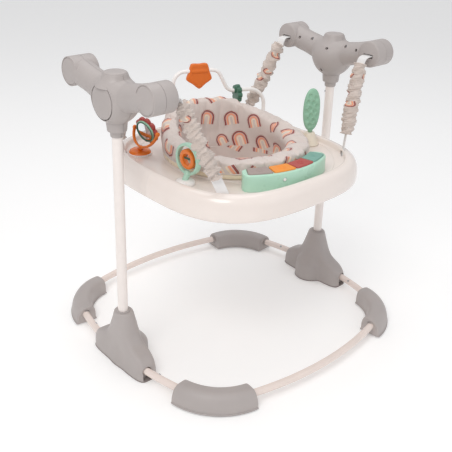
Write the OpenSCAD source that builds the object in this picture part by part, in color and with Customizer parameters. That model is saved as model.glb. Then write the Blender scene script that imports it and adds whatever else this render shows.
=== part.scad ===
// Activity jumper: a swivelling padded seat in a toy tray, hung on four elastic straps
// from two posts that stand on a ring base.
// Frame: origin on the floor under the seat's centre, X through the two posts,
// -Y towards the front of the tray (the keyboard), +Z up. Millimetres.

/* [Base ring] */
// Half width of the base ring at its tube's centre line, across the posts
ring_half_x = 380; // [376:1:386]
// Half depth of the base ring at its tube's centre line
ring_half_y = 366; // [360:1:374]
// Bend radius of the ring's corners
ring_corner_r = 140; // [134:1:146]
// Outer diameter of the base tube
tube_d = 19; // [18:0.5:20]
// Wall of the base tube
tube_wall = 1.2; // [1:0.1:1.5]
// Height of the base tube's centre line above the floor
ring_z = 28; // [27:0.5:30]

/* [Posts and heads] */
// Distance of each post's axis from the middle
post_x = 367.6; // [366:0.2:370]
// Outer diameter of the post tube
post_d = 25.4; // [24:0.2:26]
// Height of the underside of the head's collar
collar_z = 618; // [610:1:630]
// Radius of the ball of the head
ball_r = 56; // [54:1:58]
// Distance of each strap barrel from the post, along Y
barrel_y = 150; // [146:1:154]
// Radius of the strap barrels
barrel_r = 35; // [33:1:36]

/* [Tray] */
// Half width of the square tray, both ways
tray_half = 288; // [284:1:292]
// Squareness of the tray's outline: 2 is a circle
tray_power = 3.1; // [2.8:0.1:3.4]
// Height of the tray's lower edge
tray_low = 441; // [436:1:446]
// Height of the tray's rim
tray_top = 504; // [502:1:506]
// Height of the tray's deck, where the toys stand
deck_z = 487; // [485:1:488]

/* [Seat] */
// Outer radius of the swivelling seat ring
seat_r = 190; // [188:1:192]
// Height of the top of the seat's back
back_top = 597; // [585:1:605]
// Height of the lowest point of the fabric seat
sling_low = 318; // [300:2:330]

/* [Straps] */
// Radius of a gathered strap sleeve
sleeve_r = 15; // [13:0.5:16]
// Width of the strap webbing
webbing_w = 26; // [22:1:28]

/* [Toys] */
// Diameter of the toy bar's tube
bar_d = 11; // [9:0.5:12]
// Travel of the musical keys
key_travel = 2.5; // [1.5:0.5:3]

/* [Hidden] */
$fn = 48;
gap = 0.3;
shell = 3;
tube_r = tube_d / 2;
post_r = post_d / 2;

// The ring is four large side arcs joined by four corner arcs, all tangent.
turn_a = 16;
turn_b = 74;
arc_det = (1 - cos(turn_a)) * (1 - sin(turn_b)) - cos(turn_b) * sin(turn_a);
reach_x = ring_half_x - ring_corner_r;
reach_y = ring_half_y - ring_corner_r;
arc_p = (reach_x * (1 - sin(turn_b)) - cos(turn_b) * reach_y) / arc_det;
arc_q = ((1 - cos(turn_a)) * reach_y - sin(turn_a) * reach_x) / arc_det;
side_r = arc_p + ring_corner_r;
front_r = arc_q + ring_corner_r;
corner_c = [arc_q * cos(turn_b), arc_p * sin(turn_a)];
side_c = [ring_half_x - side_r, 0];
front_c = [0, ring_half_y - front_r];
tube_start = 60;
link_end = 172;
spigot_end = 28;
snap_y = 145;
snap_r = 3;
lap_a = 0.6;
hair = 0.05;

// Corner feet
foot_a = 6;
foot_b = 84;
foot_half = 29;
foot_top = 50;
pad_h = 2.5;

// Post feet
house_half = 112;
house_in = 336;
house_out = 397;
sole_h = 3;

// Heads
ball_z = 705;
barrel_z = 742;
barrel_in = 328;
barrel_out = 400;
arm_r = 32;
split_x = 366.5;
cover_x = 405.7;
cap_z = 756;
neck_z = 633;

// Tray
rim_in = 262;
hole_r = 177;
collar_h = 6;
ring_low = 495;
ring_high = 508;

// Straps, from the barrel's inner face to the tray's corner slot
strap_top = [309, 146, 738];
strap_end = [219, 189, deck_z];
sleeve_from = 0.06;
sleeve_to = 0.78;

// Toy places on the deck
mirror_at = [-189, 166];
bead_at = [-226, -72];
paddle_at = [226, -60];
paddle_z = 587;
paddle_half = 60;
bar_from = [-25, 240];
bar_yaw = -19.7;
bar_len = 281;
bar_r1 = 33;
bar_s = 30;
bar_r2 = 50;
bar_hi = 665;
bar_lo = 600;
star_s = 80;
leaf_s = 199;
mirror_z = 556;
mirror_yaw = -83;
mirror_lean = 16;
yoke_lean = -25;
hoop_c = [-214, -69, 548];
hoop_yaw = 93;

// How far the tray hangs turned under the heads, in degrees
tray_twist = 3;

// Keyboard, an arc about the seat's axis
keys_in = 199;
keys_out = 247;
keys_a = -128;
keys_b = -60;
keys_top = 529;
key_pitch = 15.6;
key_first = -125.2;

// ---- placing ----
module flip_x(on) { if (on) mirror([1, 0, 0]) children(); else children(); }
module flip_y(on) { if (on) mirror([0, 1, 0]) children(); else children(); }
module corner(sx, sy) { $hand = sx * sy; flip_x(sx < 0) flip_y(sy < 0) children(); }
module corners() { for (sx = [-1, 1], sy = [-1, 1]) corner(sx, sy) children(); }
module sides() { for (sx = [-1, 1]) corner(sx, 1) children(); }

// ---- shapes used by several pieces ----
module tube_arc(c, r, from, to, ro, ri = 0)
    translate([c[0], c[1], ring_z]) rotate([0, 0, from])
        rotate_extrude(angle = to - from, $fn = 96) translate([r, 0])
            difference() {
                circle(ro, $fn = 48);
                if (ri > 0) circle(ri, $fn = 48);
            }

function tray_point(h, a) =
    let (c = abs(cos(a)), s = abs(sin(a)), p = 2 / tray_power)
    [sign(cos(a)) * h * pow(c, p), sign(sin(a)) * h * pow(s, p)];
module tray_outline(h) polygon([for (i = [0:71]) tray_point(h, i * 5)]);
module tray_plate(h, z0, z1) translate([0, 0, z0]) linear_extrude(z1 - z0) tray_outline(h);
module round_rod(from, to, r) {
    d = to - from;
    l = norm(d);
    translate(from) rotate([0, acos(d[2] / l), atan2(d[1], d[0])]) cylinder(r = r, h = l);
}
module ring_plate(ri, ro, z0, z1, fn = 120) translate([0, 0, z0])
    difference() {
        cylinder(r = ro, h = z1 - z0, $fn = fn);
        translate([0, 0, -1]) cylinder(r = ri, h = z1 - z0 + 2, $fn = fn);
    }
module sector(ri, ro, from, to, z0, z1) translate([0, 0, z0]) rotate([0, 0, from])
    rotate_extrude(angle = to - from, $fn = 360) translate([ri, 0]) square([ro - ri, z1 - z0]);

// ---- stand ----
module snap_hole(r) translate([side_x(snap_y), snap_y, ring_z]) rotate([0, -45, 0])
    cylinder(r = r, h = 3 * tube_r);
function side_x(y) = side_c[0] + sqrt(side_r * side_r - y * y);

module base_tube(spigot) {
    ro = tube_r;
    ri = tube_r - tube_wall;
    a0 = asin(tube_start / side_r);
    color([0.93, 0.88, 0.86]) {
        difference() {
            tube_arc(side_c, side_r, a0, turn_a, ro, ri);
            snap_hole(snap_r + gap);
        }
        // the bend's ends run a little into the side and front runs, a hair smaller
        tube_arc(corner_c, ring_corner_r, turn_a - lap_a, turn_b + lap_a, ro - hair, ri - hair);
        tube_arc(front_c, front_r, turn_b, 90, ro, ri);
        if (spigot) {
            tube_arc(front_c, front_r, 90 - lap_a / 3, 90 - lap_a / 6, ri + 2 * hair, ri - tube_wall);
            tube_arc(front_c, front_r, 90 - lap_a / 3, 90 + asin(spigot_end / front_r),
                ri - gap / 2, ri - tube_wall);
        }
    }
}
module base_links() color([0.75, 0.75, 0.76]) sides() {
    e = asin(link_end / side_r);
    ro = tube_r - tube_wall - 0.15;
    difference() {
        tube_arc(side_c, side_r, -e, e, ro, ro - tube_wall);
        for (m = [false, true]) flip_y(m) snap_hole(snap_r + gap);
    }
}
module snap_buttons() color([0.8, 0.8, 0.82]) {
    corners() intersection() {
        translate([side_x(snap_y), snap_y, ring_z]) rotate([0, -45, 0])
            translate([0, 0, 5]) cylinder(r = snap_r, h = tube_r - 5 + 2);
        translate([side_x(snap_y), snap_y, ring_z]) sphere(tube_r + 1.8);
    }
    sides() translate([post_x, 0, 602]) rotate([0, 0, 135]) rotate([0, 90, 0])
        translate([0, 0, post_r - 4]) cylinder(r = snap_r, h = 6);
}

module foot_section(g) {
    // half width eases from the flange up to a rounded crown
    w = foot_half - g;
    h = foot_top - pad_h - g;
    polygon([for (a = [0:7.5:180])
        [w * sign(cos(a)) * pow(abs(cos(a)), 0.62), h * pow(sin(a), 0.75)]]);
}
module corner_foot() color([0.72, 0.68, 0.67]) difference() {
    union() {
        translate([corner_c[0], corner_c[1], pad_h]) rotate([0, 0, foot_a])
            rotate_extrude(angle = foot_b - foot_a, $fn = 180)
                translate([ring_corner_r, 0]) foot_section(0);
        translate([0, 0, pad_h]) translate([corner_c[0], corner_c[1], 0])
            rotate([0, 0, foot_a]) rotate_extrude(angle = foot_b - foot_a, $fn = 180)
                translate([ring_corner_r - foot_half - 1.5, 0]) square([2 * foot_half + 3, 3]);
    }
    translate([corner_c[0], corner_c[1], pad_h - 0.01]) rotate([0, 0, foot_a + 2])
        rotate_extrude(angle = foot_b - foot_a - 4, $fn = 180)
            translate([ring_corner_r, 0]) foot_section(shell);
    tube_arc(corner_c, ring_corner_r, foot_a - 2, foot_b + 2, tube_r + gap + 1.6);
}
module grip_pads() color([0.35, 0.34, 0.33]) corners()
    translate([corner_c[0], corner_c[1], 0]) rotate([0, 0, 20])
        rotate_extrude(angle = 50, $fn = 180)
            translate([ring_corner_r - 26, 0]) square([52, pad_h]);

// Bell outline of a post foot's housing, inset by g
function bell_z(y, g) =
    (58 - g) * pow(max(0, 1 - pow(abs(y) / (house_half - g), 8)), 0.5)
    + 90 / (1 + pow(abs(y) / (40 - g), 5));
module bell(g) polygon(concat([[-(house_half - g), 0]],
    [for (y = [-1:0.05:1]) [y * (house_half - g), bell_z(y * (house_half - g), g)]],
    [[house_half - g, 0]]));
module house_solid(g) {
    intersection() {
        translate([house_in + g, 0, sole_h]) rotate([90, 0, 90])
            linear_extrude(house_out - house_in - 2 * g) bell(g);
        translate([0, house_half, sole_h - 1]) rotate([90, 0, 0]) linear_extrude(2 * house_half)
            polygon([[house_in + g, 0], [house_out - g, 0], [house_out - g - 1, 60],
                [house_out - g - 7, 152], [house_in + g + 9, 152], [house_in + g + 2, 60]]);
    }
    translate([347, 0, sole_h]) cylinder(r = 46 - g, h = 50 - g);
    translate([347, 0, sole_h + 50 - g]) cylinder(r1 = 46 - g, r2 = 34 - g, h = 12);
}
module post_foot() color([0.72, 0.68, 0.67]) difference() {
    house_solid(0);
    translate([0, 0, -0.01]) house_solid(shell);
    translate([post_x, 0, 100]) cylinder(r = post_r + 0.2, h = 80);
    tube_arc(side_c, side_r, -10, 10, tube_r + gap + 1.6);
    for (s = [-1, 1]) translate([side_x(house_half) - tube_r - 2, s * (house_half - 4) - 6, 0])
        cube([2 * tube_r + 4, 12, ring_z]);
}
module foot_soles() color([0.6, 0.57, 0.56]) sides() {
    translate([house_in - 1, -house_half, 0])
        cube([house_out - house_in + 2, 2 * house_half, sole_h]);
    intersection() {
        translate([347, 0, 0]) cylinder(r = 47, h = sole_h);
        translate([290, -50, 0]) cube([house_in - 290, 100, sole_h]);
    }
}
module post() color([0.93, 0.89, 0.88]) difference() {
    translate([post_x, 0, ring_z + tube_r + 1]) cylinder(r = post_r, h = 620);
    translate([post_x, 0, ring_z]) cylinder(r = post_r - 1.4, h = 660);
    translate([post_x, 0, 602]) rotate([0, 0, 135]) rotate([0, 90, 0])
        cylinder(r = snap_r + 0.3, h = 30);
}

// ---- heads: u is measured from the post's axis, outwards ----
module head_solid(g) {
    translate([0, 0, ball_z]) sphere(ball_r - g, $fn = 96);
    for (s = [-1, 1]) {
        round_rod([0, 0, ball_z + 4], [0, s * (barrel_y - 2), barrel_z], arm_r - g);
        translate([barrel_in - post_x + g, s * barrel_y, barrel_z]) rotate([0, 90, 0])
            cylinder(r = barrel_r - g, h = barrel_out - barrel_in - 2 * g);
    }
    translate([0, 0, neck_z]) cylinder(r = 26 - g, h = 40);
}
module head_shell() difference() {
    union() {
        difference() {
            head_solid(0);
            head_solid(shell);
        }
        translate([0, 0, collar_z]) cylinder(r = 15.8, h = 52);
        translate([0, 0, neck_z]) cylinder(r = 25, h = 4);
    }
    cylinder(r = post_r + 0.2, h = 800);
    translate([0, 0, cap_z]) cylinder(r = 60, h = 50);
    translate([cover_x - post_x, -100, 600]) cube([60, 200, 200]);
    for (s = [-1, 1]) translate([-60, s * barrel_y - 16, barrel_z - 3]) cube([30, 32, 12]);
    for (p = screw_places()) translate([-70, p[0], p[1]]) rotate([0, 90, 0])
        cylinder(r = 3.2, h = 60);
}
function screw_places() = [[-112, 752], [-62, 748], [-14, 735], [62, 748], [112, 752]];
module head_half(side) color([0.72, 0.68, 0.67]) translate([post_x, 0, 0]) intersection() {
    difference() {
        head_shell();
        for (s = [-1, 1]) translate([0, s * barrel_y, barrel_z]) rotate([90, 0, 0])
            translate([-14, 0, -27]) cylinder(r = 4.2, h = 54);
    }
    if (side > 0) translate([split_x - post_x + 0.1, -200, 600]) cube([60, 400, 200]);
    else translate([split_x - post_x - 60.1, -200, 600]) cube([60, 400, 200]);
}
module head_covers() color([0.74, 0.70, 0.69]) sides()
    translate([cover_x + 0.1, 0, ball_z]) rotate([0, 90, 0]) {
        cylinder(r = 40, h = 2.4, $fn = 96);
        translate([0, 0, 2.4]) cylinder(r1 = 40, r2 = 37, h = 1.6, $fn = 96);
    }
module head_top_caps() color([0.74, 0.70, 0.69]) sides()
    translate([post_x, 0, cap_z + 0.2]) {
        cylinder(r = 27, h = 11, $fn = 72);
        translate([0, 0, 11]) cylinder(r1 = 27, r2 = 23, h = 4, $fn = 72);
    }
module barrel_caps() color([0.74, 0.70, 0.69]) corners()
    translate([barrel_out + 0.2, barrel_y, barrel_z]) rotate([0, 90, 0]) {
        cylinder(r = 32, h = 2);
        translate([0, 0, 2]) cylinder(r1 = 32, r2 = 29, h = 2);
    }
module strap_pins() color([0.7, 0.7, 0.72]) corners()
    translate([post_x - 14, barrel_y + 25, barrel_z]) rotate([90, 0, 0]) cylinder(r = 4, h = 50);
module head_screws() color([0.6, 0.6, 0.62]) sides() for (p = screw_places())
    translate([post_x - 16, p[0], p[1]]) rotate([0, -90, 0]) {
        cylinder(r = 2.8, h = 3, $fn = 24);
        translate([0, 0, -12]) cylinder(r = 1.5, h = 12, $fn = 24);
    }

// ---- straps, built at the +X +Y corner ----
// the tray hangs turned a little to the left, so each lower end is turned about the seat's axis
function slot_at(s) = [strap_end[0] * cos(s * tray_twist) - strap_end[1] * sin(s * tray_twist),
    strap_end[0] * sin(s * tray_twist) + strap_end[1] * cos(s * tray_twist), strap_end[2]];
function strap_at(t) = strap_top + t * (slot_at($hand) - strap_top);
module strap_top_webbing() color([0.95, 0.94, 0.94]) corners() {
    z = barrel_z + 4.2;
    translate([strap_top[0] - 1, barrel_y - webbing_w / 2, z]) cube([46, webbing_w, 2.2]);
    translate([strap_top[0] - 1, barrel_y - webbing_w / 2, strap_at(sleeve_from)[2] + 2])
        cube([2.4, webbing_w, z - strap_at(sleeve_from)[2]]);
}
module strap_sleeve() color([0.84, 0.78, 0.76]) difference() {
    round_rod(strap_at(sleeve_from), strap_at(sleeve_to), sleeve_r);
    round_rod(strap_at(sleeve_from - 0.02), strap_at(sleeve_to + 0.02), 8.5);
}
module strap_elastics() color([0.9, 0.89, 0.87]) corners()
    round_rod(strap_at(sleeve_from + 0.004), strap_at(sleeve_to - 0.004), 8);
module slot_box(p, w, d, h) translate(p) rotate([0, 0, -45 + $hand * tray_twist])
    translate([-w / 2, -d / 2, 0]) cube([w, d, h]);
module strap_lower_webbing() color([0.95, 0.94, 0.94]) corners() {
    // slanted run from the sleeve to the slot, then straight down through it
    run = 1 - sleeve_to - 0.03;
    yaw = -45 + $hand * tray_twist;
    rise = strap_top - slot_at($hand);
    along = rise[0] * cos(yaw) + rise[1] * sin(yaw);
    across = rise[1] * cos(yaw) - rise[0] * sin(yaw);
    tall = norm([across, rise[2]]) * run;
    translate(slot_at($hand)) rotate([0, 0, yaw]) rotate([atan2(rise[2], across), 0, 0])
        translate([0, 0, -1]) linear_extrude(2) polygon([[-webbing_w / 2, 0],
            [webbing_w / 2, 0], [webbing_w / 2 + along * run, tall],
            [-webbing_w / 2 + along * run, tall]]);
    slot_box(slot_at($hand) - [0, 0, 26], webbing_w - 1, 1.6, 28);
}
module strap_buckles() color([0.9, 0.86, 0.84]) corners() difference() {
    slot_box(slot_at($hand) - [0, 0, 18], webbing_w + 10, 14, 6);
    slot_box(slot_at($hand) - [0, 0, 19], webbing_w + 1, 3, 8);
}

// ---- tray ----
module tray_shell() color([0.93, 0.89, 0.86]) difference() {
    union() {
        difference() {
            tray_plate(tray_half, tray_low, tray_top);
            tray_plate(tray_half - shell, tray_low - 1, tray_top - shell);
            tray_plate(rim_in, tray_low, tray_top + 1);
        }
        difference() {
            tray_plate(rim_in + shell, deck_z - shell, tray_top);
            tray_plate(rim_in, deck_z, tray_top + 1);
        }
        ring_plate(hole_r, hole_r + 9, deck_z - 1, deck_z + collar_h);
    }
    translate([0, 0, 400]) cylinder(r = hole_r, h = 150, $fn = 120);
    corners() slot_box(slot_at($hand) - [0, 0, 10], webbing_w + 14, 12, 35);
}
module seat_glides() color([0.97, 0.96, 0.94]) for (a = [30:60:330]) rotate([0, 0, a])
    translate([hole_r + 4.5, 0, deck_z + collar_h]) cylinder(r = 4, h = 1.4, $fn = 24);

// ---- seat ----
module seat_ring() color([0.95, 0.88, 0.75]) {
    ring_plate(160, seat_r, ring_low, ring_high);
    ring_plate(168, 173, deck_z - 22, ring_low + 1);
}
module seat_retainer() color([0.93, 0.89, 0.86])
    ring_plate(173.2, 184, deck_z - 14, deck_z - 8);
module seat_sling() color([0.84, 0.78, 0.76]) difference() {
    rotate_extrude($fn = 120) polygon([[0, sling_low], [88, sling_low], [118, sling_low + 22],
        [150, 440], [159, ring_high], [151, ring_high], [142, 440], [110, sling_low + 30],
        [84, sling_low + 9], [0, sling_low + 9]]);
    for (s = [-1, 1]) translate([s * 62, -60, sling_low + 34]) rotate([62, 0, s * 14])
        cylinder(r = 44, h = 160);
}
module seat_cushion() color([0.84, 0.78, 0.76]) {
    // padded roll round the ring
    rotate_extrude($fn = 120) polygon([for (a = [0:12:180])
        [158 + 31 * cos(a), ring_high + gap + 30 * pow(sin(a), 0.8)]]);
    // high back, falling away towards the sides
    intersection() {
        ring_plate(164, 188, ring_high + 12, back_top);
        translate([-200, 0, 0]) rotate([90, 0, 90]) linear_extrude(400) polygon([
            [-62, ring_high + 12], [-20, ring_high + 30], [62, 557], [120, 582], [157, 594],
            [189, back_top], [200, back_top], [200, ring_high + 12]]);
    }
}

// ---- mirror toy ----
module mirror_place(lean = mirror_lean) translate([mirror_at[0] + 2, mirror_at[1] - 26, mirror_z])
    rotate([0, 0, mirror_yaw]) rotate([lean + 90, 0, 0]) children();
module mirror_stand() color([0.94, 0.49, 0.16]) {
    translate([mirror_at[0], mirror_at[1], deck_z]) {
        cylinder(r = 30, h = 7);
        translate([0, 0, 7]) cylinder(r1 = 30, r2 = 22, h = 5);
    }
    difference() {
        union() {
            round_rod([mirror_at[0], mirror_at[1], deck_z + 8],
                [mirror_at[0] - 16.4, mirror_at[1] - 28.2, mirror_z - 39.9], 5);
            mirror_place(yoke_lean) rotate_extrude(angle = -180, $fn = 96)
                translate([43, 0]) square([5, 9], center = true);
        }
        mirror_place() rotate([0, 90, 0]) cylinder(r = 2.1, h = 120, center = true);
    }
}
module flower(r, lobe, n) {
    circle(r);
    for (i = [0:n - 1]) rotate(i * 360 / n) translate([r, 0]) circle(lobe);
}
module mirror_flower() color([0.66, 0.26, 0.23]) mirror_place() {
    difference() {
        translate([0, 0, -9]) linear_extrude(11) flower(32, 6, 10);
        translate([0, 0, -1]) cylinder(r = 31, h = 5);
    }
    for (s = [-1, 1]) translate([s * 37, 0, 0]) rotate([0, s * 90, 0])
        translate([0, 0, -4]) cylinder(r = 1.9, h = 10);
}
module mirror_bezel() color([0.25, 0.42, 0.34]) mirror_place() difference() {
    translate([0, 0, -0.8]) cylinder(r = 30.8, h = 9);
    translate([0, 0, -2]) cylinder(r = 26, h = 12);
}
module mirror_glass() color([0.85, 0.87, 0.88]) mirror_place()
    translate([0, 0, -0.8]) cylinder(r = 25.8, h = 6);

// ---- bead toy ----
module hoop_place() translate(hoop_c) rotate([0, 0, hoop_yaw]) rotate([90, 0, 0]) children();
module bead_base() color([0.95, 0.93, 0.92]) translate([bead_at[0], bead_at[1], deck_z]) {
    cylinder(r = 24, h = 9);
    translate([0, 0, 9]) cylinder(r1 = 24, r2 = 19, h = 3);
}
module bead_hoop() color([0.71, 0.86, 0.78]) {
    hoop_place() difference() {
        linear_extrude(16, center = true) difference() {
            circle(40, $fn = 72);
            circle(32, $fn = 72);
        }
        rotate([0, 90, 0]) cylinder(r = 2.6, h = 200, center = true);
    }
    round_rod([bead_at[0], bead_at[1], deck_z + 12.2], hoop_c - [0, 0, 36], 7);
}
module bead() color([0.94, 0.49, 0.16]) hoop_place() {
    rotate([0, 90, 0]) cylinder(r = 2.5, h = 78, center = true);
    difference() {
        cylinder(r = 25, h = 15, center = true);
        cylinder(r = 14, h = 20, center = true);
    }
}

// ---- keyboard ----
module key_sector(i, g, ri, ro, z0, z1)
    sector(ri, ro, key_first + i * key_pitch + g, key_first + (i + 1) * key_pitch - g, z0, z1);
module keyboard_case() color([0.71, 0.86, 0.78]) difference() {
    sector(keys_in, keys_out, keys_a, keys_b, deck_z, keys_top);
    sector(keys_in + 2.5, keys_out - 2.5, keys_a + 0.8, keys_b - 0.8, deck_z - 1, keys_top - 3);
    for (i = [0:3]) key_sector(i, 0.3, keys_in + 3.5, keys_out - 5, keys_top - 5, keys_top + 1);
    rotate([0, 0, -103.4]) translate([keys_out - 10, 0, 511]) rotate([0, 90, 0])
        cylinder(r = 4.5, h = 20);
}
module keyboard_floor() color([0.71, 0.86, 0.78])
    sector(keys_in + 2.8, keys_out - 2.8, keys_a + 1, keys_b - 1, deck_z + 0.2, deck_z + 2.7);
module key(i, c) color(c)
    key_sector(i, 0.45, keys_in + 4.2, keys_out - 5.7, keys_top - 4, keys_top + 3.5);
module power_button() color([0.97, 0.97, 0.96]) rotate([0, 0, -103.4])
    translate([keys_out - 6, 0, 511]) rotate([0, 90, 0]) cylinder(r = 4, h = 7.5);
module circuit_board() color([0.2, 0.45, 0.3])
    sector(keys_in + 8, keys_out - 12, keys_a + 6, keys_b - 6, deck_z + 20, deck_z + 21.6);
module batteries() color([0.3, 0.3, 0.32]) for (r = [keys_in + 12, keys_in + 28])
    rotate([0, 0, -84]) translate([r, -25, deck_z + 11]) rotate([-90, 0, 0])
        cylinder(r = 7.2, h = 50);

// ---- paddle toy ----
module paddle_base() color([0.93, 0.87, 0.80]) translate([paddle_at[0], paddle_at[1], deck_z])
    difference() {
        union() {
            cylinder(r = 26, h = 4);
            translate([0, 0, 4]) cylinder(r1 = 25, r2 = 13, h = 32);
        }
        translate([0, 0, 10]) cylinder(r = 4.2, h = 40);
    }
module paddle() color([0.56, 0.75, 0.62]) translate([paddle_at[0], paddle_at[1], 0]) {
    rotate([0, 0, -28]) difference() {
        translate([0, 7, paddle_z]) rotate([90, 0, 0]) linear_extrude(14)
            polygon([for (a = [0:6:354]) [24 * sign(cos(a)) * pow(abs(cos(a)), 0.85),
                paddle_half * sign(sin(a)) * pow(abs(sin(a)), 0.9)]]);
        for (p = [[-9, 30], [9, 22], [-12, 4], [10, -4], [-6, -20], [11, -30], [0, 12]],
                s = [-1, 1])
            translate([p[0], s * 7, paddle_z + p[1]]) rotate([90, 0, 0])
                cylinder(r = 4.5, h = 5, center = true);
    }
    translate([0, 0, deck_z + 12]) cylinder(r = 4.1, h = paddle_z - paddle_half - deck_z);
}

// ---- toy bar ----
module bar_place() translate([bar_from[0], bar_from[1], 0]) rotate([0, 0, bar_yaw])
    rotate([90, 0, 0]) children();
module bar_arc(c, r, from, to) translate([c[0], c[1], 0]) rotate([0, 0, from - 1])
    rotate_extrude(angle = to - from + 2, $fn = 96) translate([r, 0])
        circle(bar_d / 2 - hair, $fn = 48);
module bar_rod(a, b) round_rod([a[0], a[1], 0], [b[0], b[1], 0], bar_d / 2);
c1 = [118, bar_hi - bar_s];
c2 = [188, bar_lo + bar_s];
s_gap = c2 - c1;
s_turn = atan2(-s_gap[1], s_gap[0]);
s_angle = acos(2 * bar_s / norm(s_gap)) - s_turn;
module toy_bar() color([0.94, 0.91, 0.88]) bar_place() {
    bar_rod([4, deck_z], [4, bar_hi - bar_r1]);
    bar_arc([4 + bar_r1, bar_hi - bar_r1], bar_r1, 90, 180);
    bar_rod([4 + bar_r1, bar_hi], [c1[0], bar_hi]);
    bar_arc(c1, bar_s, s_angle, 90);
    bar_rod(c1 + bar_s * [cos(s_angle), sin(s_angle)], c2 - bar_s * [cos(s_angle), sin(s_angle)]);
    bar_arc(c2, bar_s, 180 + s_angle, 270);
    bar_rod([c2[0], bar_lo], [bar_len + 4 - bar_r2, bar_lo]);
    bar_arc([bar_len + 4 - bar_r2, bar_lo - bar_r2], bar_r2, 0, 90);
    bar_rod([bar_len + 4, bar_lo - bar_r2], [bar_len + 4, deck_z]);
}
module star() color([0.88, 0.44, 0.12]) bar_place() difference() {
    translate([star_s, bar_hi - 12, -9]) linear_extrude(18) polygon([for (i = [0:4])
        40 * [cos(90 + 36 + i * 72), sin(90 + 36 + i * 72)]]);
    translate([star_s - 50, bar_hi, 0]) rotate([0, 90, 0]) cylinder(r = bar_d / 2 + gap, h = 100);
}
module leaf() color([0.25, 0.42, 0.34]) bar_place() difference() {
    translate([leaf_s - 7, bar_lo - 10, 0]) rotate([0, 90, 0]) linear_extrude(14)
        flower(20, 7, 8);
    translate([leaf_s - 20, bar_lo, 0]) rotate([0, 90, 0]) cylinder(r = bar_d / 2 + gap, h = 40);
}

corner(-1, -1) base_tube(true);  // base_tube_front_left
corner(1, -1) base_tube(false);  // base_tube_front_right
corner(-1, 1) base_tube(true);  // base_tube_rear_left
corner(1, 1) base_tube(false);  // base_tube_rear_right
base_links();
snap_buttons();
corner(-1, -1) corner_foot();  // corner_foot_front_left
corner(1, -1) corner_foot();  // corner_foot_front_right
corner(-1, 1) corner_foot();  // corner_foot_rear_left
corner(1, 1) corner_foot();  // corner_foot_rear_right
grip_pads();
corner(-1, 1) post_foot();  // post_foot_left
post_foot();  // post_foot_right
foot_soles();
corner(-1, 1) post();  // post_left
post();  // post_right
corner(-1, 1) head_half(1);  // head_outer_left
head_half(1);  // head_outer_right
corner(-1, 1) head_half(-1);  // head_inner_left
head_half(-1);  // head_inner_right
head_covers();
head_top_caps();
barrel_caps();
strap_pins();
head_screws();
strap_top_webbing();
corner(-1, -1) strap_sleeve();  // strap_sleeve_front_left
corner(1, -1) strap_sleeve();  // strap_sleeve_front_right
corner(-1, 1) strap_sleeve();  // strap_sleeve_rear_left
corner(1, 1) strap_sleeve();  // strap_sleeve_rear_right
strap_elastics();
strap_lower_webbing();
strap_buckles();
tray_shell();
seat_glides();
seat_ring();
seat_retainer();
seat_sling();
seat_cushion();
mirror_stand();
mirror_flower();
mirror_bezel();
mirror_glass();
bead_base();
bead_hoop();
bead();
keyboard_case();
keyboard_floor();
key(0, [0.65, 0.58, 0.57]);  // key_1
key(1, [0.94, 0.58, 0.23]);  // key_2
key(2, [0.70, 0.31, 0.29]);  // key_3
key(3, [0.49, 0.66, 0.61]);  // key_4
power_button();
circuit_board();
batteries();
paddle_base();
paddle();
toy_bar();
star();
leaf();
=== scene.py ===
import math

import bmesh
import bpy
import numpy as np
from mathutils import Matrix, Vector


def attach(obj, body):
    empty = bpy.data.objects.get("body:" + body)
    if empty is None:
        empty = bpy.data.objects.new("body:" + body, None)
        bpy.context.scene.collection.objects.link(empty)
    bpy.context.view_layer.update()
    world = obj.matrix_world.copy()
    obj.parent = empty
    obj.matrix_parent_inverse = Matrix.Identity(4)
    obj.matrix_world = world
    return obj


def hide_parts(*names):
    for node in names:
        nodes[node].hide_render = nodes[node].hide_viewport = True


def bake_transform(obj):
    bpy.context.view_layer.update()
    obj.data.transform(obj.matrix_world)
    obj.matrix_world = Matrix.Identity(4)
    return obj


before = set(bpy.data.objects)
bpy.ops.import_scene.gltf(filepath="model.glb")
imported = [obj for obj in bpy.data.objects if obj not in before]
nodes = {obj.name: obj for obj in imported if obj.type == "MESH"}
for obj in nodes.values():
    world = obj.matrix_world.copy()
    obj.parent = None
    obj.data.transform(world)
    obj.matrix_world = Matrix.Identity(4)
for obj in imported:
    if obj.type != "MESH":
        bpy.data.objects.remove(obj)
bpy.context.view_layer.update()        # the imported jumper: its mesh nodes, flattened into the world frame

# Looks for the baby jumper. Lengths below are millimetres in the CAD frame: X runs through the
# two posts, -Y is the keyboard's side, Z is up from the floor.
mm = 0.001
print("frame loaded:", len(nodes), "nodes")


# ---- small tools ----
# sRGB hex to linear light; the curve is straight below 0.04045
def linear(code, alpha=1.0):
    parts = np.array([int(code[i:i + 2], 16) for i in (0, 2, 4)]) / 255
    light = np.where(parts <= 0.04045, parts / 12.92, ((parts + 0.055) / 1.055) ** 2.4)
    return (*light.tolist(), alpha)


# one node: settings go to inputs by name or number, or else to properties; links feed inputs
def addNode(tree, kind, settings=None, links=None):
    made = tree.nodes.new(kind)
    for key, value in (settings or {}).items():
        if isinstance(key, int) or key in made.inputs:
            made.inputs[key].default_value = value
        else:
            setattr(made, key, value)
    for key, source in (links or {}).items():
        tree.links.new(source, made.inputs[key])
    return made


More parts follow.
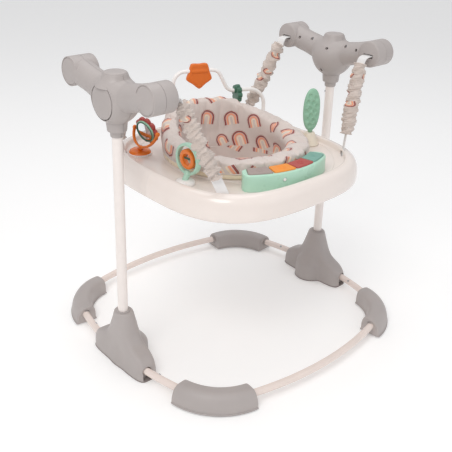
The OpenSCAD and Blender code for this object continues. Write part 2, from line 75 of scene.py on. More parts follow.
# quads over a grid (rows, columns, 3); a wrapped direction joins its last line to its first.
# uv is a grid one larger each way, so that a seam keeps both of its values
def gridSurface(points, wrapRows=False, wrapCols=True, uv=None):
    rows, cols = points.shape[:2]
    i, j = np.meshgrid(np.arange(rows - (not wrapRows)), np.arange(cols - (not wrapCols)),
                       indexing="ij")
    nextRow, nextCol = (i + 1) % rows, (j + 1) % cols
    faces = np.stack([i * cols + j, i * cols + nextCol, nextRow * cols + nextCol,
                      nextRow * cols + j], -1).reshape(-1, 4)
    if uv is None:
        corners = np.zeros((len(faces) * 4, 2))
    else:
        corners = np.stack([uv[i, j], uv[i, j + 1], uv[i + 1, j + 1], uv[i + 1, j]], 2)
    return {"points": points.reshape(-1, 3), "faces": faces, "uv": corners.reshape(-1, 2)}


# adds a row at each end where every point is the row's centre, which closes a tube
def closedEnds(points):
    first = np.broadcast_to(points[:1].mean(1, keepdims=True), points[:1].shape)
    last = np.broadcast_to(points[-1:].mean(1, keepdims=True), points[-1:].shape)
    return np.concatenate([first, points, last])


# Catmull-Rom curve: cubic spans that pass through every point
def smoothCurve(points, steps=8):
    p = np.asarray(points, float)
    shape = p.shape[1:]
    p = p.reshape(len(p), -1)
    p = np.vstack([2 * p[:1] - p[1:2], p, 2 * p[-1:] - p[-2:-1]])
    t = (np.arange(steps) / steps)[None, :, None]
    a, b, c, d = p[:-3, None], p[1:-2, None], p[2:-1, None], p[3:, None]
    curve = 0.5 * (2 * b + (c - a) * t + (2 * a - 5 * b + 4 * c - d) * t ** 2
                   + (3 * b - a - 3 * c + d) * t ** 3)
    return np.vstack([curve.reshape(-1, p.shape[1]), p[-2:-1]]).reshape(-1, *shape)


def unit(v):
    return v / np.maximum(np.linalg.norm(v, axis=-1, keepdims=True), 1e-12)


# straight runs between corners, each inner corner rounded by a tangent arc of its radius
def filletPath(corners, radii, step=3.0):
    corners = np.asarray(corners, float)
    runs = [corners[:1]]
    for k, radius in enumerate(radii, 1):
        back, on = unit(corners[k - 1] - corners[k]), unit(corners[k + 1] - corners[k])
        half = math.acos(float(np.clip(back @ on, -1, 1))) / 2
        centre = corners[k] + unit(back + on) * radius / math.sin(half)
        start = corners[k] + back * radius / math.tan(half) - centre
        end = corners[k] + on * radius / math.tan(half) - centre
        turn = math.pi - 2 * half
        s = np.linspace(0, 1, max(4, int(radius * turn / step)))[:, None]
        runs.append(centre + (np.sin((1 - s) * turn) * start + np.sin(s * turn) * end)
                    / math.sin(turn))
    return np.vstack([*runs, corners[-1:]])


# a section carried along a path: side is across the path and the reference, up completes the three
def sweep(path, section, ref=(0, 0, 1), loop=False, ends=True, uv=None):
    path = np.asarray(path, float)
    section = np.asarray(section, float)
    along = np.roll(path, -1, 0) - np.roll(path, 1, 0) if loop else np.gradient(path, axis=0)
    along = unit(along)
    side = unit(np.cross(along, np.broadcast_to(np.asarray(ref, float), along.shape)))
    up = np.cross(side, along)
    points = (path[:, None] + section[..., 0:1] * side[:, None] + section[..., 1:2] * up[:, None])
    if ends and not loop:
        points = closedEnds(points)
    return gridSurface(points, wrapRows=loop, uv=uv)


def circle(radius, sides=24):
    a = np.arange(sides) * 2 * np.pi / sides
    return np.stack([np.cos(a), np.sin(a)], -1) * radius


# closed superellipse |x/a|^n + |y/b|^n = 1
def superLoop(a, b, power, sides=24):
    t = np.arange(sides) * 2 * np.pi / sides
    c, s = np.cos(t), np.sin(t)
    return np.stack([a * np.sign(c) * np.abs(c) ** (2 / power),
                     b * np.sign(s) * np.abs(s) ** (2 / power)], -1)


# a profile of (radius, height) turned about Z; ends on the axis close it, loop joins its ends
def lathe(profile, centre=(0, 0, 0), cols=72, loop=False):
    profile = np.asarray(profile, float)
    a = np.arange(cols) * 2 * np.pi / cols
    r, z = profile[:, :1], profile[:, 1:]
    points = np.stack([r * np.cos(a), r * np.sin(a), z + 0 * a], -1) + np.asarray(centre, float)
    return gridSurface(points, wrapRows=loop)


# superellipsoid: a box with rounded sides, rounder as power falls towards 2
def softBox(half, centre=(0, 0, 0), power=6, rows=24, cols=40):
    a = np.linspace(-np.pi / 2, np.pi / 2, rows)[:, None]
    b = (np.arange(cols) * 2 * np.pi / cols)[None]
    e = 2 / power
    ring = np.cos(a).clip(0) ** e
    points = np.stack([ring * np.sign(np.cos(b)) * np.abs(np.cos(b)) ** e * half[0],
                       ring * np.sign(np.sin(b)) * np.abs(np.sin(b)) ** e * half[1],
                       np.sign(np.sin(a)) * np.abs(np.sin(a)) ** e * half[2] + 0 * b], -1)
    return gridSurface(points + np.asarray(centre, float))


def placed(part, matrix):
    m = np.array(matrix)
    return {**part, "points": part["points"] @ m[:3, :3].T + m[:3, 3]}


def mirrored(part, x=1, y=1):
    return {**part, "points": part["points"] * np.array([x, y, 1])}


def turned(axis, degrees):
    return Matrix.Rotation(math.radians(degrees), 4, axis)


def at(x, y, z):
    return Matrix.Translation((x, y, z))


# smooth union and cut of two distances, rounded over k
def softMax(a, b, k):
    return np.maximum(a, b) + np.maximum(k - np.abs(a - b), 0) ** 2 / (4 * k)


def softMin(a, b, k):
    return np.minimum(a, b) - np.maximum(k - np.abs(a - b), 0) ** 2 / (4 * k)


# a few sines of seeded direction and phase, between about -1 and 1
def ripples(u, v, wave, seed, count=7):
    rng = np.random.default_rng(seed)
    angle, phase = rng.uniform(0, np.pi, count), rng.uniform(0, 6.28, count)
    size = wave * rng.uniform(0.6, 1.6, count)
    total = sum(np.sin(2 * np.pi * (u * math.cos(a) + v * math.sin(a)) / s + p)
                for a, p, s in zip(angle, phase, size))
    return total / count ** 0.5


# joins parts into one object in metres, merges doubles, turns faces outwards, rides and replaces
def makePiece(name, parts, material, body, replaces=(), sharp=38, ride=True):
    sizes = np.cumsum([0] + [len(p["points"]) for p in parts])
    points = np.concatenate([p["points"] for p in parts]) * mm
    faces = np.concatenate([p["faces"] + n for p, n in zip(parts, sizes)])
    mesh = bpy.data.meshes.new(name)
    mesh.from_pydata(points.tolist(), [], faces.tolist())
    mesh.uv_layers.new(name="Cloth").data.foreach_set(
        "uv", np.concatenate([p["uv"] for p in parts]).ravel())
    cleaned = bmesh.new()
    cleaned.from_mesh(mesh)
    bmesh.ops.remove_doubles(cleaned, verts=cleaned.verts, dist=2e-6)
    bmesh.ops.dissolve_degenerate(cleaned, edges=cleaned.edges, dist=1e-6)
    bmesh.ops.recalc_face_normals(cleaned, faces=cleaned.faces)
    cleaned.to_mesh(mesh)
    cleaned.free()
    obj = bpy.data.objects.new(name, mesh)
    bpy.context.scene.collection.objects.link(obj)
    mesh.materials.append(material)
    softShade(obj, sharp)
    if ride:
        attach(obj, body)
    if replaces:
        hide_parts(*replaces)
    return obj


# smooth shading, with edges over the angle left sharp
def softShade(obj, sharp):
    obj.data.shade_smooth()
    obj.data.set_sharp_from_angle(angle=math.radians(sharp))


# cuts the parts out of a closed piece
def carve(obj, parts, sharp=38):
    cutter = makePiece("cutter", parts, obj.data.materials[0], None, ride=False)
    cut = obj.modifiers.new("cut", "BOOLEAN")
    cut.operation = "DIFFERENCE"
    cut.solver = "EXACT"
    cut.object = cutter
    bpy.context.view_layer.update()
    shaped = bpy.data.meshes.new_from_object(
        obj.evaluated_get(bpy.context.evaluated_depsgraph_get()))
    obj.modifiers.clear()
    obj.data = shaped
    shaped.name = obj.name
    bpy.data.objects.remove(cutter)
    softShade(obj, sharp)
    return obj


# rounds the sharp edges, then lets the faces keep their own normals
def bevelled(obj, width, segments=2, angle=40):
    bevel = obj.modifiers.new("edges", "BEVEL")
    bevel.width = width * mm
    bevel.segments = segments
    bevel.limit_method = "ANGLE"
    bevel.angle_limit = math.radians(angle)
    bevel.harden_normals = True
    return obj


# ---- materials ----
def startMaterial(name, code, roughness, **more):
    mat = bpy.data.materials.new(name)
    mat.use_nodes = True
    tree = mat.node_tree
    shader = tree.nodes["Principled BSDF"]
    shader.inputs["Base Color"].default_value = linear(code)
    shader.inputs["Roughness"].default_value = roughness
    for key, value in more.items():
        shader.inputs[key.replace("_", " ")].default_value = value
    mat.diffuse_color = linear(code)
    coords = addNode(tree, "ShaderNodeTexCoord")
    return mat, tree, shader, coords


# feeds a height into the shader's normal; depth is in metres
def addBump(tree, shader, height, depth, strength=1.0, under=None):
    links = {"Height": height}
    if under is not None:
        links["Normal"] = under
    bump = addNode(tree, "ShaderNodeBump", {"Strength": strength, "Distance": depth}, links)
    tree.links.new(bump.outputs["Normal"], shader.inputs["Normal"])
    return bump.outputs["Normal"]


# injection-moulded polypropylene or ABS: spark-eroded grain that softens the gloss, faint flow
# clouds in the colour and hand-worn patches that shine a little more. The real grain is about
# 0.3 mm; it is drawn at grainSize so that it shows
def mouldedPlastic(name, code, rough, grainSize=1.2, grainDepth=0.05, cloud=0.035, coat=0.0):
    mat, tree, shader, coords = startMaterial(name, code, rough, IOR=1.49, Coat_Weight=coat,
                                              Coat_Roughness=0.12)
    place = coords.outputs["Object"]
    flow = addNode(tree, "ShaderNodeTexNoise", {"Scale": 14, "Detail": 3, "Roughness": 0.55},
                   {"Vector": place})
    shade = addNode(tree, "ShaderNodeMapRange", {1: 0.3, 2: 0.7, 3: 1 - cloud, 4: 1 + cloud * 0.5},
                    {0: flow.outputs["Fac"]})
    tint = addNode(tree, "ShaderNodeHueSaturation", {"Color": linear(code)},
                   {"Value": shade.outputs[0]})
    tree.links.new(tint.outputs["Color"], shader.inputs["Base Color"])
    worn = addNode(tree, "ShaderNodeTexNoise", {"Scale": 32, "Detail": 2}, {"Vector": place})
    polish = addNode(tree, "ShaderNodeMapRange", {1: 0.35, 2: 0.7, 3: rough * 1.12, 4: rough * 0.82},
                     {0: worn.outputs["Fac"]})
    tree.links.new(polish.outputs[0], shader.inputs["Roughness"])
    grain = addNode(tree, "ShaderNodeTexNoise", {"Scale": 1000 / grainSize / 2, "Detail": 2},
                    {"Vector": place})
    addBump(tree, shader, grain.outputs["Fac"], grainDepth * mm)
    return mat


# powder-coated steel tube: satin with the faint orange peel of baked powder, about 2 mm across
def powderCoat(name, code):
    mat, tree, shader, coords = startMaterial(name, code, 0.32, IOR=1.5, Coat_Weight=0.25,
                                              Coat_Roughness=0.2)
    peel = addNode(tree, "ShaderNodeTexVoronoi", {"Scale": 450, "feature": "SMOOTH_F1"},
                   {"Vector": coords.outputs["Object"]})
    haze = addNode(tree, "ShaderNodeTexNoise", {"Scale": 40, "Detail": 4},
                   {"Vector": coords.outputs["Object"]})
    rub = addNode(tree, "ShaderNodeMapRange", {1: 0.3, 2: 0.75, 3: 0.28, 4: 0.4},
                  {0: haze.outputs["Fac"]})
    shade = addNode(tree, "ShaderNodeMapRange", {1: 0.2, 2: 0.8, 3: 0.97, 4: 1.02},
                    {0: haze.outputs["Fac"]})
    tint = addNode(tree, "ShaderNodeHueSaturation", {"Color": linear(code)},
                   {"Value": shade.outputs[0]})
    tree.links.new(tint.outputs["Color"], shader.inputs["Base Color"])
    tree.links.new(rub.outputs[0], shader.inputs["Roughness"])
    addBump(tree, shader, peel.outputs["Distance"], 0.03 * mm)
    return mat


# bright zinc-plated steel: metallic, with fine drawing lines along Z and dull freckles
def zincSteel(name, code="b9babd"):
    mat, tree, shader, coords = startMaterial(name, code, 0.3, Metallic=1.0)
    lines = addNode(tree, "ShaderNodeMapping", {"Scale": (900, 900, 60)},
                    {"Vector": coords.outputs["Object"]})
    drawn = addNode(tree, "ShaderNodeTexNoise", {"Scale": 1, "Detail": 2},
                    {"Vector": lines.outputs[0]})
    dull = addNode(tree, "ShaderNodeMapRange", {1: 0.3, 2: 0.7, 3: 0.24, 4: 0.42},
                   {0: drawn.outputs["Fac"]})
    tree.links.new(dull.outputs[0], shader.inputs["Roughness"])
    addBump(tree, shader, drawn.outputs["Fac"], 0.01 * mm)
    return mat


# the printed cotton of the seat and sleeves: a greige plain weave of 0.6 mm threads, drawn at
# weaveSize, sheen from its fuzz, and a scatter of generic rainbow arches, each turned and sized
# by its own cell of the cloth. tile is the size of a cell in metres of cloth
def printedCotton(name, tile=0.076, weaveSize=1.3, printAmount=0.94, code="dacdc6"):
    mat, tree, shader, coords = startMaterial(name, code, 0.9, Sheen_Weight=0.35,
                                              Sheen_Roughness=0.5, Specular_IOR_Level=0.25)
    cloth = addNode(tree, "ShaderNodeUVMap", {"uv_map": "Cloth"}).outputs["UV"]

    def calc(operation, a, b=0.0, third=None, clamp=False):
        links, values = {}, {"operation": operation, "use_clamp": clamp}
        for slot, value in ((0, a), (1, b), (2, third)):
            if isinstance(value, (int, float)):
                values[slot] = value
            elif value is not None:
                links[slot] = value
        return addNode(tree, "ShaderNodeMath", values, links).outputs[0]

    split = addNode(tree, "ShaderNodeSeparateXYZ", links={0: cloth})
    down = calc("DIVIDE", split.outputs[1], tile * 0.86)
    row = calc("FLOOR", down)
    # every second row is shifted half a cell, as in brickwork
    shift = calc("MULTIPLY", calc("MODULO", row, 2.0), 0.5)
    across = calc("ADD", calc("DIVIDE", split.outputs[0], tile), shift)
    column = calc("FLOOR", across)
    cell = addNode(tree, "ShaderNodeCombineXYZ", links={0: column, 1: row}).outputs[0]
    chance = addNode(tree, "ShaderNodeTexWhiteNoise", {"noise_dimensions": "2D"}, {"Vector": cell})
    parts = addNode(tree, "ShaderNodeSeparateColor", links={0: chance.outputs["Color"]})
    wobble = addNode(tree, "ShaderNodeMapRange", {3: -0.13, 4: 0.13},
                     {0: parts.outputs[0]}).outputs[0]
    drop = addNode(tree, "ShaderNodeMapRange", {3: -0.16, 4: 0.04},
                   {0: parts.outputs[1]}).outputs[0]
    x = calc("SUBTRACT", calc("SUBTRACT", calc("FRACT", across), 0.5), wobble)
    y = calc("SUBTRACT", calc("SUBTRACT", calc("FRACT", down), 0.5), drop)
    place = addNode(tree, "ShaderNodeCombineXYZ", links={0: x, 1: y}).outputs[0]
    tilt = addNode(tree, "ShaderNodeMapRange", {3: -0.5, 4: 0.5}, {0: parts.outputs[2]}).outputs[0]
    rotated = addNode(tree, "ShaderNodeVectorRotate", {"rotation_type": "Z_AXIS"},
                      {"Vector": place, "Angle": tilt}).outputs[0]
    turnedPlace = addNode(tree, "ShaderNodeSeparateXYZ", links={0: rotated})
    size = addNode(tree, "ShaderNodeMapRange", {3: 0.27, 4: 0.39},
                   {0: chance.outputs["Value"]}).outputs[0]
    # an arch: the distance from the centre above the springing line, |x| on the legs below it
    sideways = calc("POWER", calc("ABSOLUTE", turnedPlace.outputs[0]), 2.0)
    above = calc("POWER", calc("MAXIMUM", turnedPlace.outputs[1], 0.0), 2.0)
    radius = calc("DIVIDE", calc("POWER", calc("ADD", sideways, above), 0.5), size)
    legs = calc("GREATER_THAN", turnedPlace.outputs[1], calc("MULTIPLY", size, -0.8))
    bands = addNode(tree, "ShaderNodeValToRGB", links={0: radius})
    ramp = bands.color_ramp
    ramp.interpolation = "CONSTANT"
    # from the middle out: cloth, cream band, cloth line, salmon, cloth line, dark red, cloth
    stripes = ((0.0, None), (0.17, "f3dcc0"), (0.31, None), (0.37, "f0a07f"), (0.60, None),
               (0.655, "8f3b37"), (0.86, None), (0.93, "b98f7f"), (0.96, None))
    while len(ramp.elements) < len(stripes):
        ramp.elements.new(0.5)
    for element, (position, ink) in zip(ramp.elements, stripes):
        element.position = position
        element.color = linear(ink or code, 1.0 if ink else 0.0)
    shown = calc("LESS_THAN", parts.outputs[1], printAmount)
    inked = calc("MULTIPLY", calc("MULTIPLY", bands.outputs["Alpha"], legs), shown)
    # the ink is a little thin, so that the cloth shows through it in flecks
    fleck = addNode(tree, "ShaderNodeTexNoise", {"Scale": 900, "Detail": 2},
                    {"Vector": coords.outputs["Object"]})
    cover = addNode(tree, "ShaderNodeMapRange", {1: 0.3, 2: 0.6, 3: 0.8, 4: 1.0},
                    {0: fleck.outputs["Fac"]})
    inked = calc("MULTIPLY", inked, cover.outputs[0])
    soft = addNode(tree, "ShaderNodeTexNoise", {"Scale": 22, "Detail": 4},
                   {"Vector": coords.outputs["Object"]})
    shade = addNode(tree, "ShaderNodeMapRange", {1: 0.3, 2: 0.7, 3: 0.95, 4: 1.03},
                    {0: soft.outputs["Fac"]})
    ground = addNode(tree, "ShaderNodeHueSaturation", {"Color": linear(code)},
                     {"Value": shade.outputs[0]})
    mixed = addNode(tree, "ShaderNodeMix", {"data_type": "RGBA"},
                    {0: inked, 6: ground.outputs[0], 7: bands.outputs["Color"]})
    tree.links.new(mixed.outputs[2], shader.inputs["Base Color"])
    # warp and weft: two bands of waves at right angles
    height = None
    for direction in ("X", "Y"):
        thread = addNode(tree, "ShaderNodeTexWave",
                         {"Scale": 1 / (weaveSize * mm) / 2, "bands_direction": direction,
                          "Distortion": 0.6, "Detail": 1}, {"Vector": cloth})
        height = thread.outputs["Fac"] if height is None else calc("ADD", height,
                                                                    thread.outputs["Fac"])
    slub = addNode(tree, "ShaderNodeTexNoise", {"Scale": 260, "Detail": 3},
                   {"Vector": coords.outputs["Object"]})
    addBump(tree, shader, calc("ADD", height, slub.outputs["Fac"]), 0.18 * mm, 0.7)
    return mat


# woven polyester webbing: white, with a twill rib of about 2 mm drawn across the strap
def wovenWebbing(name, code="f1efee", rib=2.2):
    mat, tree, shader, coords = startMaterial(name, code, 0.7, Sheen_Weight=0.2)
    twill = addNode(tree, "ShaderNodeTexWave",
                    {"Scale": 1 / (rib * mm) / 2, "bands_direction": "DIAGONAL", "Distortion": 0.4},
                    {"Vector": coords.outputs["Object"]})
    fuzz = addNode(tree, "ShaderNodeTexNoise", {"Scale": 700, "Detail": 2},
                   {"Vector": coords.outputs["Object"]})
    # painted shade: the colour is up to 10% darker where the twill's bump is low, in the grooves between its
    # ribs
    shade = addNode(tree, "ShaderNodeMapRange", {3: 0.9, 4: 1.0}, {0: twill.outputs["Fac"]})
    tint = addNode(tree, "ShaderNodeHueSaturation", {"Color": linear(code)}, {"Value": shade.outputs[0]})
    tree.links.new(tint.outputs["Color"], shader.inputs["Base Color"])
    first = addBump(tree, shader, fuzz.outputs["Fac"], 0.1 * mm)
    addBump(tree, shader, twill.outputs["Fac"], 0.35 * mm, under=first)
    return mat


# soft thermoplastic rubber: matte, with a stippled non-slip face and dust in its dimples
def gripRubber(name, code):
    mat, tree, shader, coords = startMaterial(name, code, 0.8, IOR=1.52)
    dots = addNode(tree, "ShaderNodeTexVoronoi", {"Scale": 420}, {"Vector": coords.outputs["Object"]})
    dust = addNode(tree, "ShaderNodeTexNoise", {"Scale": 30, "Detail": 5},
                   {"Vector": coords.outputs["Object"]})
    shade = addNode(tree, "ShaderNodeMapRange", {3: 0.85, 4: 1.15}, {0: dust.outputs["Fac"]})
    tint = addNode(tree, "ShaderNodeHueSaturation", {"Color": linear(code)}, {"Value": shade.outputs[0]})
    tree.links.new(tint.outputs["Color"], shader.inputs["Base Color"])
    addBump(tree, shader, dots.outputs["Distance"], 0.15 * mm)
    return mat


# silvered acrylic mirror: clean and sharp, with a faint ripple from moulding
def acrylicMirror(name):
    mat, tree, shader, coords = startMaterial(name, "e4e8ea", 0.04, Metallic=1.0)
    wave = addNode(tree, "ShaderNodeTexNoise", {"Scale": 45, "Detail": 1},
                   {"Vector": coords.outputs["Object"]})
    smear = addNode(tree, "ShaderNodeMapRange", {1: 0.45, 2: 0.8, 3: 0.03, 4: 0.12},
                    {0: wave.outputs["Fac"]})
    tree.links.new(smear.outputs[0], shader.inputs["Roughness"])
    addBump(tree, shader, wave.outputs["Fac"], 0.12 * mm)
    return mat


# circuit board: green solder mask over copper tracks, drawn as right-angled cells of 2.5 mm
def solderMask(name):
    mat, tree, shader, coords = startMaterial(name, "2c6b45", 0.35)
    tracks = addNode(tree, "ShaderNodeTexVoronoi", {"Scale": 240, "distance": "CHEBYCHEV"},
                     {"Vector": coords.outputs["Object"]})
    lines = addNode(tree, "ShaderNodeMapRange", {1: 0.25, 2: 0.3}, {0: tracks.outputs["Distance"]})
    paint = addNode(tree, "ShaderNodeMix", {"data_type": "RGBA", 6: linear("2c6b45"), 7: linear("6d8a45")},
                    {0: lines.outputs[0]})
    tree.links.new(paint.outputs[2], shader.inputs["Base Color"])
    addBump(tree, shader, lines.outputs[0], 0.04 * mm)
    return mat


taupePlastic = mouldedPlastic("Taupe_polypropylene", "b0a8a5", 0.48, grainDepth=0.05)
creamPlastic = mouldedPlastic("Cream_ABS_gloss", "ece1da", 0.2, grainDepth=0.012, cloud=0.02, coat=0.3)
ringPlastic = mouldedPlastic("Ivory_ABS_ring", "f0e0c6", 0.28, grainDepth=0.015)
coneCream = mouldedPlastic("Cream_ABS_cone", "eadfce", 0.3, grainDepth=0.015)
whitePlastic = mouldedPlastic("White_ABS", "f3efec", 0.3, grainDepth=0.02)
nylon = mouldedPlastic("White_nylon_glides", "f6f4f0", 0.4)
orangePlastic = mouldedPlastic("Orange_ABS", "ee7c26", 0.26, grainDepth=0.02, coat=0.2)
teetherOrange = mouldedPlastic("Orange_teether_TPE", "e07020", 0.42, grainDepth=0.04)
brickPlastic = mouldedPlastic("Brick_red_ABS", "a8413a", 0.34, grainDepth=0.02)
darkGreenPlastic = mouldedPlastic("Dark_green_ABS", "3f6b56", 0.34, grainDepth=0.02)
paleGreenPlastic = mouldedPlastic("Pale_green_ABS", "9cc7ad", 0.32, grainDepth=0.02)
mintPlastic = mouldedPlastic("Mint_ABS", "b5dcc6", 0.3, grainDepth=0.02, coat=0.15)
sagePlastic = mouldedPlastic("Sage_TPE_paddle", "93bfa4", 0.45, grainDepth=0.04)
keyTaupe = mouldedPlastic("Taupe_key_TPE", "a5958f", 0.5)
keyOrange = mouldedPlastic("Orange_key_TPE", "f0953a", 0.5)
keyRed = mouldedPlastic("Red_key_TPE", "b2504a", 0.5)
keyTeal = mouldedPlastic("Teal_key_TPE", "7da99c", 0.5)
# a near-black material standing for the shade inside recesses such as the strap slots: painted shadow, not a
# real black part; no piece uses it
recessShadowPlastic = mouldedPlastic("Black_painted_recess_shadow", "201e1d", 0.6)
tubePaint = powderCoat("Cream_powder_coat_steel", "eadbd3")
postPaint = powderCoat("Pale_powder_coat_steel", "efe6e1")
zinc = zincSteel("Zinc_plated_steel")
batterySteel = zincSteel("Battery_can_steel", "5a5a60")
padRubber = gripRubber("Dark_grip_rubber", "4a4745")
soleRubber = gripRubber("Taupe_sole_rubber", "8f8683")
seatCotton = printedCotton("Printed_cotton_seat")
sleeveCotton = printedCotton("Printed_cotton_sleeve", tile=0.05, printAmount=0.22, code="d3c5bc")
webbing = wovenWebbing("White_polyester_webbing")
elastic = wovenWebbing("Covered_elastic_cord", "e6e2dc", 1.4)
mirrorFilm = acrylicMirror("Silvered_acrylic_mirror")
board = solderMask("Green_circuit_board")
print("materials made:", len(bpy.data.materials))


# ---- base ring and feet ----
# the ring is mirrored in X and Y, so its repeated pieces are made once for each of four quarters
quarters = [(1, 1), (1, -1), (-1, 1), (-1, -1)]
spots = {"rear_right": (1, 1), "rear_left": (-1, 1), "front_right": (1, -1), "front_left": (-1, -1)}
# each quarter of the ring is three arcs that meet smoothly: a side, a bend and a front, which
# change at turnA and turnB degrees. Two radii follow from those turns and the two half widths
ring = {"halfX": 380, "halfY": 366, "bend": 140, "z": 28, "tube": 9.5, "turnA": 16, "turnB": 74}
sinA, cosA = math.sin(math.radians(ring["turnA"])), math.cos(math.radians(ring["turnA"]))
sinB, cosB = math.sin(math.radians(ring["turnB"])), math.cos(math.radians(ring["turnB"]))
reachX, reachY = ring["halfX"] - ring["bend"], ring["halfY"] - ring["bend"]
ringDet = (1 - cosA) * (1 - sinB) - cosB * sinA
sideExtra = (reachX * (1 - sinB) - cosB * reachY) / ringDet
frontExtra = ((1 - cosA) * reachY - sinA * reachX) / ringDet
cornerAt = np.array([frontExtra * cosB, sideExtra * sinA])
sideR = sideExtra + ring["bend"]


# points of a level arc, in degrees from X
def levelArc(centre, radius, start, end, z, count=60):
    a = np.radians(np.linspace(start, end, count))
    return np.stack([centre[0] + radius * np.cos(a), centre[1] + radius * np.sin(a), z + 0 * a], -1)


cornerFoot = {"from": 6, "to": 84, "half": 29, "crown": 50, "pad": 2.6, "shell": 3, "round": 4}


# the foot's section carried round the bend: half width w|cos|^0.6 and height h sin^0.8, with the
# crown drawn towards the inner side; both shrink over the last few millimetres at each end
def footSweep(grow, start, end, lean=5.0, sides=72, rows=90):
    a = np.linspace(0, np.pi, sides)
    w = cornerFoot["half"] + grow
    h = cornerFoot["crown"] - cornerFoot["pad"] + grow
    across = w * np.sign(np.cos(a)) * np.abs(np.cos(a)) ** 0.62
    high = h * np.sin(a).clip(0) ** 0.78
    across = across - lean * (high / h) ** 2
    turn = np.radians(start + (end - start) * (0.5 - 0.5 * np.cos(np.linspace(0, np.pi, rows))))
    gone = np.minimum(turn - turn[0], turn[-1] - turn) * ring["bend"]
    edge = cornerFoot["round"]
    pull = edge - np.sqrt((edge ** 2 - (edge - np.minimum(gone, edge)) ** 2).clip(0))
    # a broad hump lengthwise: the crown is highest at the middle
    hump = 1 - 0.07 * (np.abs(turn - turn.mean()) / (turn[-1] - turn.mean())) ** 3
    s = across[None] * (1 - pull / w)[:, None]
    z = high[None] * (hump * (1 - pull / h))[:, None] + cornerFoot["pad"]
    radius = ring["bend"] + s
    points = np.stack([cornerAt[0] + radius * np.cos(turn)[:, None],
                       cornerAt[1] + radius * np.sin(turn)[:, None], z], -1)
    return gridSurface(closedEnds(points))


tubeBore = sweep(levelArc(cornerAt, ring["bend"], 0, 90, ring["z"], 80), circle(ring["tube"] + 1.8, 40))
for spot, (sx, sy) in spots.items():
    foot = makePiece("Corner_foot_" + spot, [mirrored(footSweep(0, 6, 84), sx, sy)], taupePlastic,
                     "stand", ["corner_foot_" + spot])
    carve(foot, [mirrored(footSweep(-3, 8.2, 81.8), sx, sy)])
    carve(foot, [mirrored(tubeBore, sx, sy)])
    # the flat flange that the shell stands on
    flange = np.array([(31, 2.6), (31, 4.6), (30.2, 5.4), (27, 5.4), (27, 2.6)])
    flangeLine = levelArc(cornerAt, ring["bend"], 6.6, 83.4, 0)
    makePiece("Foot_flange_" + spot,
              [mirrored(sweep(flangeLine, flange * (edge, 1)), sx, sy) for edge in (1, -1)],
              taupePlastic, "stand")
pad = sweep(levelArc(cornerAt, ring["bend"], 20, 70, 1.3), superLoop(25.5, 1.3, 5, 40))
makePiece("Grip_pads", [mirrored(pad, sx, sy) for sx, sy in quarters], padRubber, "stand",
          ["grip_pads"])

postFoot = {"centreX": 366.5, "lobeAt": -19.5, "top": 152, "bottom": 3, "edge": 4, "openingY": 112}


# level sections of the post foot: a long superellipse joined softly to the round lobe that
# carries the post; half lengths and widths are smooth functions of height
def postFootGrid(grow, z):
    keysZ = [0, 30, 46, 58, 66, 76, 92, 112, 136, 152]
    length = np.interp(z, *smoothCurve(np.array([keysZ, [112, 110, 104, 90, 72, 55, 44, 37, 29, 23.5]]).T,
                                       12).T) + grow
    width = np.interp(z, [0, 30, 60, 112, 140, 152], [30.5, 30.2, 29, 26, 22, 19]) + grow
    lobe = np.interp(z, *smoothCurve(np.array([[0, 44, 54, 64, 76, 92, 112, 152],
                                               [46.5, 45.6, 43.5, 37, 30, 26, 23, 18]]).T, 12).T) + grow
    a = (np.arange(180) * 2 * np.pi / 180)[None]
    c, s = np.cos(a), np.sin(a)
    n = np.interp(z, [0, 60, 110, 152], [5.0, 4.4, 2.8, 2.1])[:, None]
    box = ((np.abs(c) / width[:, None]) ** n + (np.abs(s) / length[:, None]) ** n) ** (-1 / n)
    d = postFoot["lobeAt"] * np.interp(z, [0, 60, 152], [1, 0.9, 0.05])[:, None]
    inside = lobe[:, None] ** 2 - (d * s) ** 2
    ball = d * c + np.sqrt(inside.clip(0))
    r = softMax(box, np.where(inside > 0, ball, 0), 16)
    return np.stack([postFoot["centreX"] + r * c, r * s, z[:, None] + 0 * a], -1)


# how far a wall draws in where its top edge is rounded
def easedTop(z, edge, top):
    gone = (top - z).clip(0)
    return -(edge - np.sqrt((edge ** 2 - (edge - np.minimum(gone, edge)) ** 2).clip(0)))


low, high, edge = postFoot["bottom"], postFoot["top"], postFoot["edge"]
shellZ = np.concatenate([np.linspace(low, high - edge, 74),
                         high - edge * np.cos(np.linspace(0, np.pi / 2, 8))])
shellZ = np.unique(np.clip(shellZ, low, high))
for side, sx in (("right", 1), ("left", -1)):
    outer = gridSurface(closedEnds(postFootGrid(easedTop(shellZ, edge, high), shellZ)))
    foot = makePiece("Post_foot_" + side, [mirrored(outer, sx)], taupePlastic, "stand",
                     ["post_foot_" + side])
    bores = []
    for sy in (1, -1):
        y = postFoot["openingY"]
        x = ring["halfX"] - sideR + math.sqrt(sideR ** 2 - y ** 2)
        arch = np.vstack([circle(12.2, 40)[:21], [(-12.2, -40), (12.2, -40)]])
        path = np.array([(x + 3, y - 14, ring["z"]), (x, y, ring["z"]), (x - 3, y + 14, ring["z"])])
        bores.append(mirrored(sweep(path, arch), sx, sy))
    carve(foot, bores)
    bead = lathe([(13, 151.5), (16.5, 151.5), (17.5, 153), (16.5, 154.6), (13.2, 154.8), (13, 153)],
                 (sx * 367.6, 0, 0), 64, loop=True)
    makePiece("Post_foot_lip_" + side, [bead], taupePlastic, "stand")
soleZ = np.array([0, 0.4, 2.6, 3.0])
soles = [mirrored(gridSurface(closedEnds(postFootGrid(np.array([-0.4, 0.8, 0.8, 0.4]), soleZ))), sx)
         for sx in (1, -1)]
makePiece("Foot_soles", soles, soleRubber, "stand", ["foot_soles"])
# screwed clip bands on the tube, where each bend leaves its foot
bands = []
for sx, sy in quarters:
    for start, end in ((4.2, 5.9), (84.1, 85.8)):
        band = levelArc(cornerAt, ring["bend"], start, end, ring["z"], 6)
        bands.append(mirrored(sweep(band, circle(10.3, 40)), sx, sy))
makePiece("Tube_collars", bands, taupePlastic, "stand")
print("feet made")

